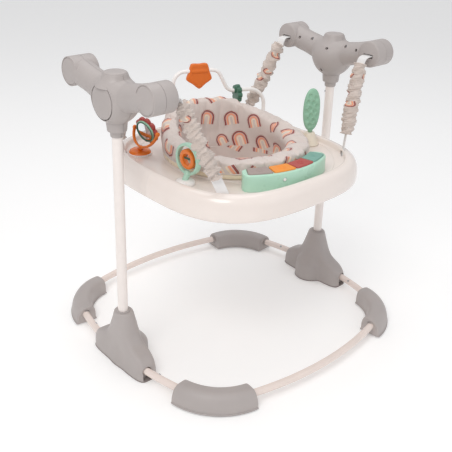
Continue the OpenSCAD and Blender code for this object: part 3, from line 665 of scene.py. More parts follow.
# ---- heads ----
head = {"ball": 56, "ballZ": 705, "postX": 367.6, "barrelY": 150, "barrelZ": 742,
        "cover": 405.7, "cap": 756, "split": 366.5, "gap": 0.35}
screwSpots = ((-104, 744), (-62, 746), (-14, 735), (62, 746), (104, 744), (0, 672))


# sections across Y: the ball's circle joined softly to a round arm that dips into the barrel's
# outer face, then cut by the planes that carry the cover and the cap
def headArms(grow=0.0, rows=150, cols=120):
    y = np.linspace(-168, 168, rows)[:, None]
    a = (np.arange(cols) * 2 * np.pi / cols)[None]
    c, s = np.cos(a), np.sin(a)
    reach = np.abs(y) / head["barrelY"]
    centre = 709 + 33 * np.minimum(reach * 1.03, 1)
    drop = centre - head["ballZ"]
    circleHere = head["ball"] ** 2 - y ** 2
    inside = circleHere - (drop * c) ** 2
    ball = np.where((circleHere > 0) & (inside > 0), -drop * s + np.sqrt(inside.clip(0)), 0)
    arm = 33.4 - 1.6 * np.exp(-((np.abs(y) - 92) / 26) ** 2) + 0 * a
    ease = np.clip((np.abs(y) - 122) / 46, 0, 1)
    arm = arm - 7 * ease * ease * (3 - 2 * ease)
    r = softMax(ball, arm, 24) + grow
    side = (head["cover"] - head["postX"]) / np.maximum(c, 0.05)
    r = np.where(c > 0.05, softMin(r, side, 3), r)
    top = (head["cap"] + np.maximum(np.abs(y) - 32, 0) * 1.6 - centre) / np.maximum(s, 0.05)
    r = np.where(s > 0.05, softMin(r, top, 3), r)
    return np.stack([head["postX"] + r * c, y + 0 * a, centre + r * s], -1)


# keeps one side of the split, its cut lying flat in the plane
def halfOf(part, outside):
    points = part["points"].copy()
    if outside:
        points[:, 0] = np.maximum(points[:, 0], head["split"] + head["gap"])
    else:
        points[:, 0] = np.minimum(points[:, 0], head["split"] - head["gap"])
    return {**part, "points": points}


def turnedAlongX(profile, centre, cols=96):
    return placed(lathe(profile, (0, 0, 0), cols), at(*centre) @ turned("Y", 90))


neck = [(0, 618), (14.6, 618), (15.6, 618.8), (15.9, 620), (16.1, 629), (17.5, 631.2), (21.4, 631.8),
        (22.6, 632.8), (23.2, 636), (24.6, 652), (29, 662), (30, 690), (0, 690)]
neckPart = lathe(neck, (head["postX"], 0, 0), 96)
barrelOuter = [(0, 366.9), (35, 366.9), (35, 394.4), (34.6, 396), (33.4, 396.9), (32.4, 397),
               (31.9, 396.4), (31.6, 395), (31.2, 395), (31.0, 396.2), (30.2, 396.8), (0, 397)]
barrelInner = [(0, 366.1), (35, 366.1), (35, 337), (34, 334), (31.4, 332.2), (0, 332)]
boss = [(0, 742), (46, 738), (40, 745), (34.5, 751.5), (31, 757.5), (29, 763), (28.4, 765.4),
        (27.8, 766), (0, 766)]
bossPart = lathe(boss, (head["postX"], 0, 0), 96)
for side, sx in (("right", 1), ("left", -1)):
    arms = gridSurface(closedEnds(headArms()))
    shell = makePiece("Head_outer_" + side, [mirrored(halfOf(arms, True), sx)], taupePlastic, "stand",
                      ["head_outer_" + side])
    coverGap = lathe([(39.3, 400), (41.0, 400), (42.6, 410), (39.3, 410)], cols=96, loop=True)
    carve(shell, [mirrored(placed(coverGap, at(0, 0, head["ballZ"]) @ turned("Y", 90)), sx)])
    outer = [halfOf(neckPart, True), halfOf(bossPart, True)]
    outer += [turnedAlongX(barrelOuter, (0, sy * head["barrelY"], head["barrelZ"])) for sy in (1, -1)]
    makePiece("Head_outer_ends_" + side, [mirrored(p, sx) for p in outer], taupePlastic, "stand")
    inner = makePiece("Head_inner_" + side, [mirrored(halfOf(arms, False), sx)], taupePlastic, "stand",
                      ["head_inner_" + side])
    holes = [mirrored(turnedAlongX([(0, 300), (4.2, 300), (4.2, 352), (0, 352)], (0, y, z), 28), sx)
             for y, z in screwSpots]
    carve(inner, holes)
    screws = [mirrored(turnedAlongX([(0, 349.5), (1.2, 349.5), (1.4, 348.2), (2.6, 348.2), (3.1, 349.2),
                                     (3.1, 352), (0, 352)], (0, y, z), 28), sx)
              for y, z in screwSpots]
    makePiece("Head_screws_" + side, screws, zinc, "stand")
    makePiece("Head_neck_inner_" + side, [mirrored(halfOf(p, False), sx) for p in (neckPart, bossPart)],
              taupePlastic, "stand")
    for spot, sy in (("rear", 1), ("front", -1)):
        barrelPlace = (0, sy * head["barrelY"], head["barrelZ"])
        cup = makePiece("Barrel_%s_%s" % (spot, side),
                        [mirrored(turnedAlongX(barrelInner, barrelPlace), sx)],
                        taupePlastic, "stand")
        mouth = softBox((12, 15.5, 5.5), (sx * 334, sy * head["barrelY"], 738), 8, 20, 32)
        carve(cup, [mouth])
    # the cap discs: a flat face inside a stepped rim, gently domed
    cover = [(0, 408.9), (20, 408.4), (32, 407.4), (37, 406.5), (38.8, 405.6), (39.3, 404.4),
             (39.3, 402), (0, 402)]
    makePiece("Head_cover_" + side, [mirrored(turnedAlongX(cover, (0, 0, head["ballZ"])), sx)],
              taupePlastic, "stand")
    cap = [(0, 770.9), (14, 770.6), (23, 769.9), (25.6, 768.8), (26.8, 767), (27, 764), (0, 764)]
    makePiece("Head_top_cap_" + side, [lathe(cap, (sx * head["postX"], 0, 0), 96)], taupePlastic,
              "stand")
    disc = [(0, 397.9), (24, 397.7), (29.2, 397.3), (30.4, 396.6), (30.8, 395.6), (30.8, 394), (0, 394)]
    for spot, sy in (("rear", 1), ("front", -1)):
        barrelPlace = (0, sy * head["barrelY"], head["barrelZ"])
        makePiece("Barrel_cap_%s_%s" % (spot, side),
                  [mirrored(turnedAlongX(disc, barrelPlace), sx)], taupePlastic, "stand")
for name in ("head_covers", "head_top_caps", "barrel_caps", "head_screws"):
    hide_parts(name)
print("heads made")

# ---- tray ----
tray = {"power": 3.1, "deck": 487}


def superRadius(half, a):
    n = tray["power"]
    return half * (np.abs(np.cos(a)) ** n + np.abs(np.sin(a)) ** n) ** (-1 / n)


# rows of (size, height, squareness, circle limit): size is a circle's radius where squareness is 0
# and the superellipse's half width where it is 1; a limit keeps the row inside a circle
trayRows = [(177, 476, 0, 0), (177, 491.6, 0, 0), (177.6, 492.8, 0, 0), (179, 493.2, 0, 0),
            (184.4, 493.2, 0, 0), (185.8, 492.6, 0, 0), (186.3, 491.4, 0, 0), (186.6, 488.6, 0, 0),
            (187.6, 487.3, 0, 0), (189.5, 487, 0, 0), (200, 487, 0.1, 0), (215, 487, 0.4, 0),
            (235, 487, 0.8, 262), (249.5, 487, 1, 261), (250.2, 487.3, 1, 262.6), (250.5, 488.6, 1, 263.4),
            (250.9, 489.2, 1, 264.6), (251.6, 489.3, 1, 0), (253.6, 489.9, 1, 0), (255.2, 491.6, 1, 0),
            (256.0, 494.4, 1, 0), (257.2, 500.6, 1, 0), (258.2, 502.8, 1, 0), (259.8, 503.9, 1, 0),
            (262, 504, 1, 0)]
t = np.radians(np.linspace(8, 90, 18))
trayRows += [(262 + 26 * math.sin(k) ** 0.82, 457 + 47 * math.cos(k) ** 0.82, 1, 0) for k in t]
trayRows += [(288, 450, 1, 0), (287.2, 445, 1, 0), (285.6, 442, 1, 0), (283.4, 441, 1, 0),
             (281.6, 441.8, 1, 0), (281, 444, 1, 0), (280.6, 456, 1, 0), (276, 472, 1, 0),
             (268, 480, 1, 0), (256, 483.4, 1, 0), (235, 484, 0.8, 259), (200, 484, 0.1, 0),
             (186, 483.6, 0, 0), (181.5, 480, 0, 0), (181, 476, 0, 0)]
size, height, square, limit = np.array(trayRows).T[:, :, None]
around = (np.arange(360) * 2 * np.pi / 360)[None]
edge = size * (1 - square) + superRadius(size, around) * square
edge = np.where(limit > 0, softMin(edge, np.where(limit > 0, limit, 999), 4), edge)
trayGrid = np.stack([edge * np.cos(around), edge * np.sin(around), height + 0 * around], -1)
# a moulding line down each side wall, beside the posts
skirt = np.clip((size - 262) / 6, 0, 1) * (height > 444) * (square > 0.9)
groove = 2.2 * np.exp(-((trayGrid[..., 1] - 10) / 4.2) ** 4) * skirt * (np.abs(np.cos(around)) > 0.7)
trayGrid[..., 0] -= np.sign(np.cos(around)) * groove
trayShell = makePiece("Tray_shell", [gridSurface(trayGrid, wrapRows=True)], creamPlastic, "tray",
                      ["tray_shell"], sharp=50)
strap = {"top": (309, 146, 738), "end": (219, 189, 487), "from": 0.06, "to": 0.78, "width": 26,
         "twist": 3, "sleeve": 194.0}


# the slot at the +X +Y corner, turned with the tray; hand is -1 for a corner that is mirrored once
def slotPlace(hand, z):
    return turned("Z", hand * strap["twist"]) @ at(*strap["end"][:2], z) @ turned("Z", -45)


slot = softBox((strap["width"] / 2 + 2.4, 3.6, 16), (0, 0, 0), 9, 24, 40)
carve(trayShell, [mirrored(placed(slot, slotPlace(sx * sy, 484)), sx, sy) for sx, sy in quarters], 50)
# raised lips round the strap slots
lipLine = np.hstack([superLoop(strap["width"] / 2 + 3.6, 4.8, 5, 64), np.zeros((64, 1))])
lip = sweep(lipLine, circle(1.5, 12), loop=True)
makePiece("Strap_slot_lips",
          [mirrored(placed(lip, slotPlace(sx * sy, 488.4)), sx, sy) for sx, sy in quarters],
          creamPlastic, "tray")
print("tray made")

# ---- seat ----
seat = {"hem": 509, "pressure": 4.0, "cap": 7, "sides": 240, "puff": 0.06, "tabs": 24}
ringRows = [(160, 497), (160, 506.6), (160.6, 507.6), (162, 508), (187, 508), (189.2, 507.2),
            (190, 505.4), (190, 500), (189.4, 499.2), (189.4, 497), (188.4, 495.6), (187, 495), (176, 495),
            (173, 494), (173, 466), (172, 465), (169, 465), (168, 466), (168, 494), (166, 495),
            (162, 495), (160.6, 495.6)]
makePiece("Seat_ring", [lathe(ringRows, cols=300, loop=True)], ringPlastic, "seat",
          ["seat_ring"])
tabs = []
for k in range(seat["tabs"]):
    tab = softBox((4.5, 1.6, 2.1), (0, 0, 0), 7, 12, 20)
    tabs.append(placed(tab, turned("Z", k * 360 / seat["tabs"] + 7) @ at(189.7, 0, 501.8) @ turned("Z", 90)))
makePiece("Seat_ring_tabs", tabs, ringPlastic, "seat")


# the roll of the seat. Its height is a smooth function of the angle from the front; the section
# is a smooth curve through control points that climb the outside, pass over the top and fall
# inside, with soft folds running down and gathers at the hem
def rollGrid(cols, steps):
    a = np.arange(cols + 1) * 2 * np.pi / cols
    off = np.degrees(np.abs((a + np.pi / 2 + np.pi) % (2 * np.pi) - np.pi))
    knots = np.array([(0, 539), (40, 539), (70, 542), (84, 547), (110, 562), (130, 580), (146, 593),
                      (180, 597)], float)
    top = np.interp(off, *smoothCurve(knots, 8).T)
    high = (top - 539) / 58
    low = 1 - high
    rise = top - seat["hem"]
    one = np.ones_like(a)
    rows = [(189.6 * one, 508.6 * one), (191.2 * one, 511.5 * one), (192 - 1 * high, 517 + 6 * high),
            (191.5 - 2 * high, 509 + 0.72 * rise), (186 - 2 * high, 509 + 0.92 * rise),
            (178 - 9 * low, top - 0.6), (170.5 - 12 * low, top), (163 - 16 * low, top - 2.6),
            (159 - 22 * low, top - 12 + 2 * low), (156.5 - 24 * low, 509 + 0.4 * rise - 4),
            (152.5 - 15 * low, 503 + 6 * high - 3 * low), (148 - 4 * low, 486 * one),
            (145.5 * one, 466 * one), (144.4 * one, 452 * one), (147 * one, 448.6 * one),
            (150 * one, 452 * one),
            (154.2 * one, 478 * one), (157 * one, 496 * one), (157.6 * one, 506 * one),
            (161 * one, 509.6 * one), (175 * one, 509.4 * one)]
    grid = smoothCurve(np.array([np.stack(r, -1) for r in rows]), steps)
    r, z = grid[..., 0], grid[..., 1]
    ringDown = np.linspace(0, 1, len(grid))[:, None]
    shown = np.clip(1 - np.abs(ringDown - 0.32) / 0.36, 0, 1) ** 0.5
    x, y = 170 * np.cos(a), 170 * np.sin(a)
    folds = ripples(x[None] + 0 * z, y[None] + 0.35 * (z - 530), 44, 11, 9)
    fine = ripples(x[None] + 0 * z, y[None] + 0.25 * (z - 530), 17, 5, 9)
    r = r + shown * (2.2 * folds + 0.9 * fine)
    z = z + shown * 1.0 * np.roll(folds, 9, 1) * (z > 512)
    # gathers just above the hem
    gather = np.exp(-((z - 513) / 4) ** 2) * (r > 184)
    r = r + gather * (0.9 * np.sin(a * 62 + 2 * np.sin(a * 7)) - 0.4)
    return np.stack([r * np.cos(a), r * np.sin(a), z], -1), a


roll, rollAngle = rollGrid(seat["sides"], 3)
uvRun = np.linalg.norm(np.diff(roll, axis=0), axis=-1)
uvRun = np.concatenate([np.zeros((1, roll.shape[1])), np.cumsum(uvRun, 0)])
uvRun = uvRun[(len(roll) * 13) // 20][None] - uvRun      # rises from inside the well to the hem
uvRoll = np.stack([np.broadcast_to(rollAngle * 168, uvRun.shape), uvRun], -1) * mm
closing = np.concatenate([uvRoll, uvRoll[:1]])
cushion = makePiece("Seat_cushion", [gridSurface(roll[:, :-1], wrapRows=True, uv=closing)], seatCotton,
                    "seat", ["seat_cushion"], sharp=180)


# the roll is blown up a little as cloth, its hem and lower edge pinned, and its moves are capped
def puffed(obj, pinned, pressure, shrink, capMm, frames=20):
    before = np.empty(len(obj.data.vertices) * 3)
    obj.data.vertices.foreach_get("co", before)
    group = obj.vertex_groups.new(name="sewn")
    group.add(np.flatnonzero(pinned(before.reshape(-1, 3) / mm)).tolist(), 1, "REPLACE")
    cloth = obj.modifiers.new("cloth", "CLOTH")
    cloth.settings.quality = 6
    cloth.settings.mass = 0.25
    cloth.settings.tension_stiffness = 18
    cloth.settings.compression_stiffness = 12
    cloth.settings.bending_stiffness = 0.6
    cloth.settings.use_pressure = True
    cloth.settings.uniform_pressure_force = pressure
    cloth.settings.shrink_min = shrink
    cloth.settings.vertex_group_mass = "sewn"
    cloth.settings.effector_weights.gravity = 0
    cloth.collision_settings.use_collision = False
    scene = bpy.context.scene
    scene.frame_start, scene.frame_end = 1, frames
    for frameNow in range(1, frames + 1):
        scene.frame_set(frameNow)
    settled = np.empty(len(before))
    obj.evaluated_get(bpy.context.evaluated_depsgraph_get()).data.vertices.foreach_get("co", settled)
    obj.modifiers.remove(cloth)
    scene.frame_set(1)
    move = (settled - before).reshape(-1, 3)
    far = np.linalg.norm(move, axis=1, keepdims=True)
    move *= np.minimum(1, capMm * mm / np.maximum(far, 1e-9))
    obj.data.vertices.foreach_set("co", (before.reshape(-1, 3) + move).ravel())
    obj.data.update()
    print(obj.name, "settled as cloth, largest move %.1f mm" % (far.max() / mm))


puffed(cushion, lambda p: (p[:, 2] < 512.5) | (np.hypot(p[:, 0], p[:, 1]) < 151), seat["pressure"],
       -seat["puff"], seat["cap"])
smoother = cushion.modifiers.new("smoother", "SUBSURF")
smoother.levels = smoother.render_levels = 1
# hem piping where the roll meets the ring
pipe = levelArc((0, 0), 190.6, 0, 358.8, 509.4, 300)
makePiece("Seat_hem_piping", [sweep(pipe, circle(1.5, 10), loop=True)], seatCotton, "seat")

# the hanging well of the seat: a turned profile 5 mm thick with two leg holes
legHole = {"at": (62, -60, 386), "yaw": 14, "lean": 75, "radius": 40, "deep": 160}
slingCurve = smoothCurve([(148.6, 462), (146, 442), (137, 404), (120, 360), (96, 341), (60, 336.6),
                          (25, 336), (0, 336)], 6)
down = np.gradient(slingCurve, axis=0)
normal = unit(np.stack([down[:, 1], -down[:, 0]], -1))
slingIn = slingCurve + np.stack([-np.abs(normal[:, 0]), np.abs(normal[:, 1])], -1) * 5
slingIn[:, 0] = slingIn[:, 0].clip(0)
slingIn[-1, 0] = 0
slingProfile = np.vstack([slingCurve[::-1], slingIn])
cols = 240
a = np.arange(cols + 1) * 2 * np.pi / cols
r, z = slingProfile[:, :1], slingProfile[:, 1:]
creases = ripples(a[None] * 30 + 0 * r, z * 0.15 + r * 0.1, 24, 3, 8) * np.clip(r / 60, 0, 1)
creases[:, -1] = creases[:, 0]
blendSeam = np.clip((2 * np.pi - a) / 0.35, 0, 1)[None]
creases = creases * blendSeam + creases[:, :1] * (1 - blendSeam)
slingPoints = np.stack([(r + 1.3 * creases) * np.cos(a), (r + 1.3 * creases) * np.sin(a),
                        z + 0.8 * creases * (z < 346)], -1)
slingRun = np.concatenate([[0], np.cumsum(np.hypot(*np.diff(slingProfile, axis=0).T))])
uvSling = np.stack([np.broadcast_to(a * 130, (len(r), cols + 1)),
                    np.broadcast_to(-slingRun[:, None], (len(r), cols + 1))], -1) * mm
sling = makePiece("Seat_sling", [gridSurface(slingPoints[:, :-1], wrapRows=True,
                  uv=np.concatenate([uvSling, uvSling[:1]]))], seatCotton, "seat",
                  ["seat_sling"], sharp=60)


def legPlace(s):
    x, y, z = legHole["at"]
    return at(s * x, y, z) @ turned("Z", s * legHole["yaw"]) @ turned("X", legHole["lean"])


legTool = lathe([(0, 0), (legHole["radius"], 0), (legHole["radius"], legHole["deep"]),
                 (0, legHole["deep"])], cols=64)
carve(sling, [placed(legTool, legPlace(s)) for s in (1, -1)], 60)
# bound edges: each leg hole's axis is marched outwards until it leaves the well's surface
binding = []
for s in (1, -1):
    place = np.array(legPlace(s))
    b = np.arange(96) * 2 * np.pi / 96
    t = np.linspace(0, legHole["deep"], 900)
    rimX, rimY = legHole["radius"] * np.cos(b)[:, None], legHole["radius"] * np.sin(b)[:, None]
    local = np.stack(np.broadcast_arrays(rimX, rimY, t[None], np.float64(1)), -1)
    world3 = local @ place[:3].T
    curve = slingCurve[::-1]
    edgeR = np.interp(world3[..., 2], curve[:, 1], curve[:, 0])
    outside = np.hypot(world3[..., 0], world3[..., 1]) > edgeR - 2.5
    first = outside.argmax(1)
    loop = world3[np.arange(96), first]
    for _ in range(3):
        loop = (np.roll(loop, 1, 0) + 2 * loop + np.roll(loop, -1, 0)) / 4
    binding.append(sweep(loop, superLoop(3.8, 3.0, 2.4, 14), loop=True))
makePiece("Leg_hole_binding", binding, seatCotton, "seat")
print("seat made")


# ---- straps ----
topEnd = np.array(strap["top"], float)
lowEnds = {hand: np.array(slotPlace(hand, strap["end"][2]).translation) for hand in (1, -1)}


def strapAt(t, hand):
    return topEnd + np.asarray(t, float)[..., None] * (lowEnds[hand] - topEnd)


# a ruched sleeve: its radius swells between the stitched ends and is crossed by soft folds made of
# seeded sines of the length and of the turn round it
def sleeveGrid(seed, hand, rows=170, cols=52):
    t = np.linspace(0, 1, rows)[:, None]
    path = strapAt(strap["from"] + (strap["to"] - strap["from"]) * t[:, 0], hand)
    along = unit(lowEnds[hand] - topEnd)
    side = unit(np.cross(along, (0, 0, 1)))
    up = np.cross(side, along)
    length = strap["sleeve"]
    a = (np.arange(cols + 1) * 2 * np.pi / cols)[None]
    s = t * length
    low = ripples(s + 9 * np.cos(a), 9 * np.sin(a), 15, seed, 7)
    high = ripples(s + 6 * np.cos(a + 1), 6 * np.sin(a), 6.5, seed + 50, 7)
    low = 1.4 * np.abs(low) ** 0.8 * np.sign(low)
    ends = np.minimum(t, 1 - t) * length
    full = 11.5 + 6.2 * (1 - np.exp(-ends / 13))
    frill = 3.0 * np.exp(-((ends - 2.5) / 2.4) ** 2) * (1 + 0.5 * np.sin(9 * a))
    r = full + 2.0 * low + 1.1 * high + frill
    r = np.where(ends < 0.01, 9.0, r)
    # the line of the sleeve sags a little and wanders to the sides
    middle = np.sin(np.pi * t)
    sag = 4.0 * middle * np.array([0, 0, -0.5])[None]
    centre = path + (sag + 2.0 * ripples(t * 3, 0 * t, 1.6, seed + 9, 4) * middle * side[None])
    points = (centre[:, None] + (r * np.cos(a))[..., None] * side + (r * np.sin(a))[..., None] * up)
    uv = np.stack([np.broadcast_to(a * 17, r.shape), np.broadcast_to(s * 1.7, r.shape)], -1) * mm
    uv = np.concatenate([uv[:1], uv, uv[-1:]])
    return closedEnds(points[:, :-1]), uv


for seed, (spot, (sx, sy)) in enumerate(spots.items()):
    hand = sx * sy
    points, uv = sleeveGrid(seed * 7 + 2, hand)
    uvFull = np.concatenate([uv, uv[-1:]])
    sleeve = makePiece("Strap_sleeve_" + spot, [mirrored(gridSurface(points, uv=uvFull), sx, sy)],
                       sleeveCotton, "stand", ["strap_sleeve_" + spot], sharp=180,
                       ride=False)
    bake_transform(sleeve)
    cord = sweep(strapAt(np.linspace(strap["from"] + 0.004, strap["to"] - 0.004, 40), hand),
                 circle(7, 16) * (1 + 0.06 * np.cos(np.arange(16) * np.pi))[:, None])
    inside = makePiece("Strap_elastic_" + spot, [mirrored(cord, sx, sy)], elastic, "stand",
                       sharp=60, ride=False)
    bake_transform(inside)
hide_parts("strap_elastics")
width = strap["width"] / 2
topRun = smoothCurve([(346, 150, 738.4), (334, 150, 738.6), (321, 150, 738.4), (312.5, 149.7, 735.6),
                      (307.6, 149, 729), (303.6, 148.7, 719), (300, 148, 708)], 8)
upper, lower = [], []
for sx, sy in quarters:
    hand = sx * sy
    lowMid, slot = strapAt(0.985, hand), lowEnds[hand]
    lowRun = np.vstack([np.linspace(strapAt(0.70, hand), lowMid, 24)[:-1],
                        smoothCurve([lowMid, slot, slot - (0, 0, 9), slot - (0, 0, 21)], 6)])
    across = math.radians(-45 + hand * strap["twist"])
    upper.append(mirrored(sweep(topRun, superLoop(1.1, width, 7, 32), ref=(0, 1, 0)), sx, sy))
    lower.append(mirrored(sweep(lowRun, superLoop(1.0, width, 7, 32),
                                ref=(math.cos(across), math.sin(across), 0)), sx, sy))
makePiece("Strap_top_webbing", upper, webbing, "stand", ["strap_top_webbing"])
makePiece("Strap_lower_webbing", lower, webbing, "tray", ["strap_lower_webbing"])
print("straps made")


# ---- toys ----
# a flat-faced disc with any outline: rows (inset, height) step in from the outline to the middle
def shapedDisc(outline, rows):
    a = (np.arange(len(outline)) * 2 * np.pi / len(outline))[None]
    inset, z = np.asarray(rows, float).T[:, :, None]
    r = (outline[None] - inset).clip(0)
    r = np.where(inset > 900, 0, r)
    return gridSurface(np.stack([r * np.cos(a), r * np.sin(a), z + 0 * a], -1))


# rows of a disc whose rims are quarter rounds and whose top rises by middle
def roundedRim(low, high, edge, middle=0.0, steps=6):
    k = np.radians(np.linspace(0, 90, steps))
    bottom = [(edge * (1 - math.sin(v)), low + edge * (1 - math.cos(v))) for v in k]
    top = [(edge * (1 - math.cos(v)), high - edge * (1 - math.sin(v))) for v in k]
    inner = [(edge + 2 + 6 * j, high + middle * (j + 1) / 4) for j in range(3)]
    return [(999, low)] + bottom + top + inner + [(999, high + middle)]


turnA = np.arange(240) * 2 * np.pi / 240

# the spinning mirror: a half-ring yoke on a stalk, a scalloped disc, a rim and the mirror itself
mirror = {"base": (-189, 166), "centre": (-187, 140, 556), "yaw": -83, "lean": 16, "yokeLean": -25}
mirrorPlace = at(*mirror["centre"]) @ turned("Z", mirror["yaw"]) @ turned("X", mirror["lean"] + 90)
yokePlace = at(*mirror["centre"]) @ turned("Z", mirror["yaw"]) @ turned("X", mirror["yokeLean"] + 90)
yokeA = np.radians(np.linspace(180, 360, 72))
yokePath = np.stack([43 * np.cos(yokeA), 43 * np.sin(yokeA), 0 * yokeA], -1)
yoke = sweep(yokePath, superLoop(2.6, 4.6, 3, 24))
hubs = [placed(lathe([(0, -3.4), (5, -3.4), (6, -2.4), (6, 2.4), (5, 3.4), (0, 3.4)], cols=40),
               at(s * 43, 0, 0) @ turned("Y", 90)) for s in (1, -1)]
stalk = smoothCurve([(-189, 166, 495), (-191, 162, 501), (-197.4, 152, 508.4), (-205.4, 137.8, 515.6)], 8)
grow = np.linspace(9, 5, len(stalk))
stalkPart = sweep(stalk, circle(1.0, 28)[None] * grow[:, None, None])
baseX, baseY = mirror["base"]
dome = [(0, 487.2), (29.2, 487.2), (29.8, 488.4), (29.4, 492), (27, 495.6), (22, 498.4), (14, 500.2),
        (8, 501), (0, 501.2)]
makePiece("Mirror_stand", [placed(yoke, yokePlace), *[placed(h, yokePlace) for h in hubs], stalkPart,
                           lathe(dome, (baseX, baseY, 0), 96)], orangePlastic, "tray",
          ["mirror_stand"])
teeth = 31.6 + 0.9 * np.sign(np.sin(36 * turnA)) * np.abs(np.sin(36 * turnA)) ** 0.5
makePiece("Mirror_base_ring",
          [placed(shapedDisc(teeth, roundedRim(486.6, 490.6, 0.8)), at(baseX, baseY, 0))],
          whitePlastic, "tray")
petals = 31.5 + 6.4 * np.abs(np.cos(5 * turnA)) ** 0.7
makePiece("Mirror_flower", [placed(shapedDisc(petals, roundedRim(-9, 2, 3)), mirrorPlace),
          *[placed(lathe([(0, 0), (1.9, 0), (1.9, 10), (0, 10)], cols=24),
                   mirrorPlace @ at(s * 33, 0, 0) @ turned("Y", s * 90)) for s in (1, -1)]],
          brickPlastic, "mirror", ["mirror_flower"])
rim = [(26, -0.6), (26, 6.4), (26.4, 7.4), (27.2, 7.9), (28.4, 7.4), (28.8, 6), (28.8, -0.6)]
makePiece("Mirror_bezel", [placed(lathe(rim, cols=120, loop=True), mirrorPlace)], darkGreenPlastic,
          "mirror", ["mirror_bezel"])
paleRim = [(28.6, -0.6), (28.6, 5.2), (29.2, 6), (30.2, 5.8), (30.8, 4.8), (30.8, -0.6)]
makePiece("Mirror_pale_rim", [placed(lathe(paleRim, cols=120, loop=True), mirrorPlace)], paleGreenPlastic,
          "mirror")
makePiece("Mirror_glass", [placed(lathe([(0, -0.6), (25.8, -0.6), (25.8, 4.5), (25.2, 5), (14, 5.15),
                                         (0, 5.2)], cols=120), mirrorPlace)], mirrorFilm, "mirror",
          ["mirror_glass"])

# the bead roller: a broad hoop on a post, with a smaller ring that spins on an axle across it
hoop = {"base": (-226, -72), "centre": (-214, -69, 548)}
hoopPlace = at(*hoop["centre"]) @ turned("Z", 93) @ turned("X", 90)
hoopA = np.radians(np.arange(0, 360, 3.0))
hoopPath = np.stack([36 * np.cos(hoopA), 36 * np.sin(hoopA), 0 * hoopA], -1)
hoopPart = placed(sweep(hoopPath, superLoop(4, 8, 3.4, 28), loop=True), hoopPlace)
post = smoothCurve([(-226, -72, 497), (-224, -71.5, 503), (-218, -70, 509), (-214, -69, 513)], 8)
postR = np.interp(np.linspace(0, 1, len(post)), [0, 0.4, 1], [8.4, 7, 9.5])
makePiece("Bead_hoop", [hoopPart, sweep(post, circle(1, 28)[None] * postR[:, None, None])], mintPlastic,
          "tray", ["bead_hoop"])
foot = [(0, 487.2), (23.4, 487.2), (24, 488), (24, 492), (23, 495), (19, 498), (12, 499.4), (0, 499.6)]
makePiece("Bead_base", [lathe(foot, (*hoop["base"], 0), 96)], whitePlastic, "tray",
          ["bead_base"])
drum = [(14, -6), (14.6, -7), (16, -7.5), (22.6, -7.5), (24.2, -6.8), (25, -5), (25, -2.4), (24, -1.2),
        (24, 1.2), (25, 2.4), (25, 5), (24.2, 6.8), (22.6, 7.5), (16, 7.5), (14.6, 7), (14, 6), (13.4, 0)]
makePiece("Bead_drum", [placed(lathe(drum, cols=96, loop=True), hoopPlace)], orangePlastic,
          "bead_roller", ["bead"])
axle = [(0, -39), (2.5, -39), (2.5, 39), (0, 39)]
makePiece("Bead_axle", [placed(lathe(axle, cols=32), hoopPlace @ turned("Y", 90))], darkGreenPlastic,
          "bead_roller")
print("side toys made")

# the keyboard: an arc-shaped case with rounded ends and four soft keys
keyboard = {"middle": 223, "half": 24, "top": 529, "first": -125.2, "pitch": 15.6, "corner": 19, "edge": 5,
            "keyRadius": 222.2, "keyTurn": 7.8, "button": (-103.4, 247, 511)}


# sections across the case; the half width shrinks at each end like a rounded corner
def keyboardGrid(rows=110):
    mid, half = keyboard["middle"], keyboard["half"]
    turn = np.radians(-94 + 34 * np.sin(np.linspace(-np.pi / 2, np.pi / 2, rows)))
    gone = np.minimum(turn - turn[0], turn[-1] - turn) * mid
    k = keyboard["corner"]
    pull = k - np.sqrt((k ** 2 - (k - np.minimum(gone, k)) ** 2).clip(0))
    e = keyboard["edge"]
    c = np.radians(np.linspace(0, 90, 8))
    side = [(0.8, 487.2), (0.4, 500), (0, 515)]
    side += [(-e * (1 - math.cos(v)), keyboard["top"] - e + e * math.sin(v)) for v in c]
    right = np.array(side)
    s = np.concatenate([half + right[:, 0], (half - e) * np.linspace(0.9, -0.9, 9), -(half + right[::-1, 0])])
    z = np.concatenate([right[:, 1], np.full(9, float(keyboard["top"])), right[::-1, 1]])
    reach = np.sign(s)[None] * (np.abs(s)[None] - pull[:, None] * np.abs(s)[None] / half)
    radius = mid + reach
    points = np.stack([radius * np.cos(turn)[:, None], radius * np.sin(turn)[:, None],
                       np.broadcast_to(z, radius.shape)], -1)
    return gridSurface(closedEnds(points))


case = makePiece("Keyboard_case", [keyboardGrid()], mintPlastic, "tray", ["keyboard_case"],
                 sharp=50)


# a block bent round the seat's axis: its outline is a superellipse in arc length and radius
def bentBlock(angle, radius, halfArc, halfDeep, rows, power=9, count=120):
    loop = superLoop(halfArc, halfDeep, power, count)
    inset, z = np.asarray(rows, float).T[:, :, None]
    shrink = np.where(inset > 900, 0, 1 - inset / min(halfArc, halfDeep))
    across, deep = loop[None, :, 0] * shrink, loop[None, :, 1] * shrink
    turn = math.radians(angle) + across / radius
    r = radius + deep
    return gridSurface(np.stack([r * np.cos(turn), r * np.sin(turn), z + 0 * turn], -1))


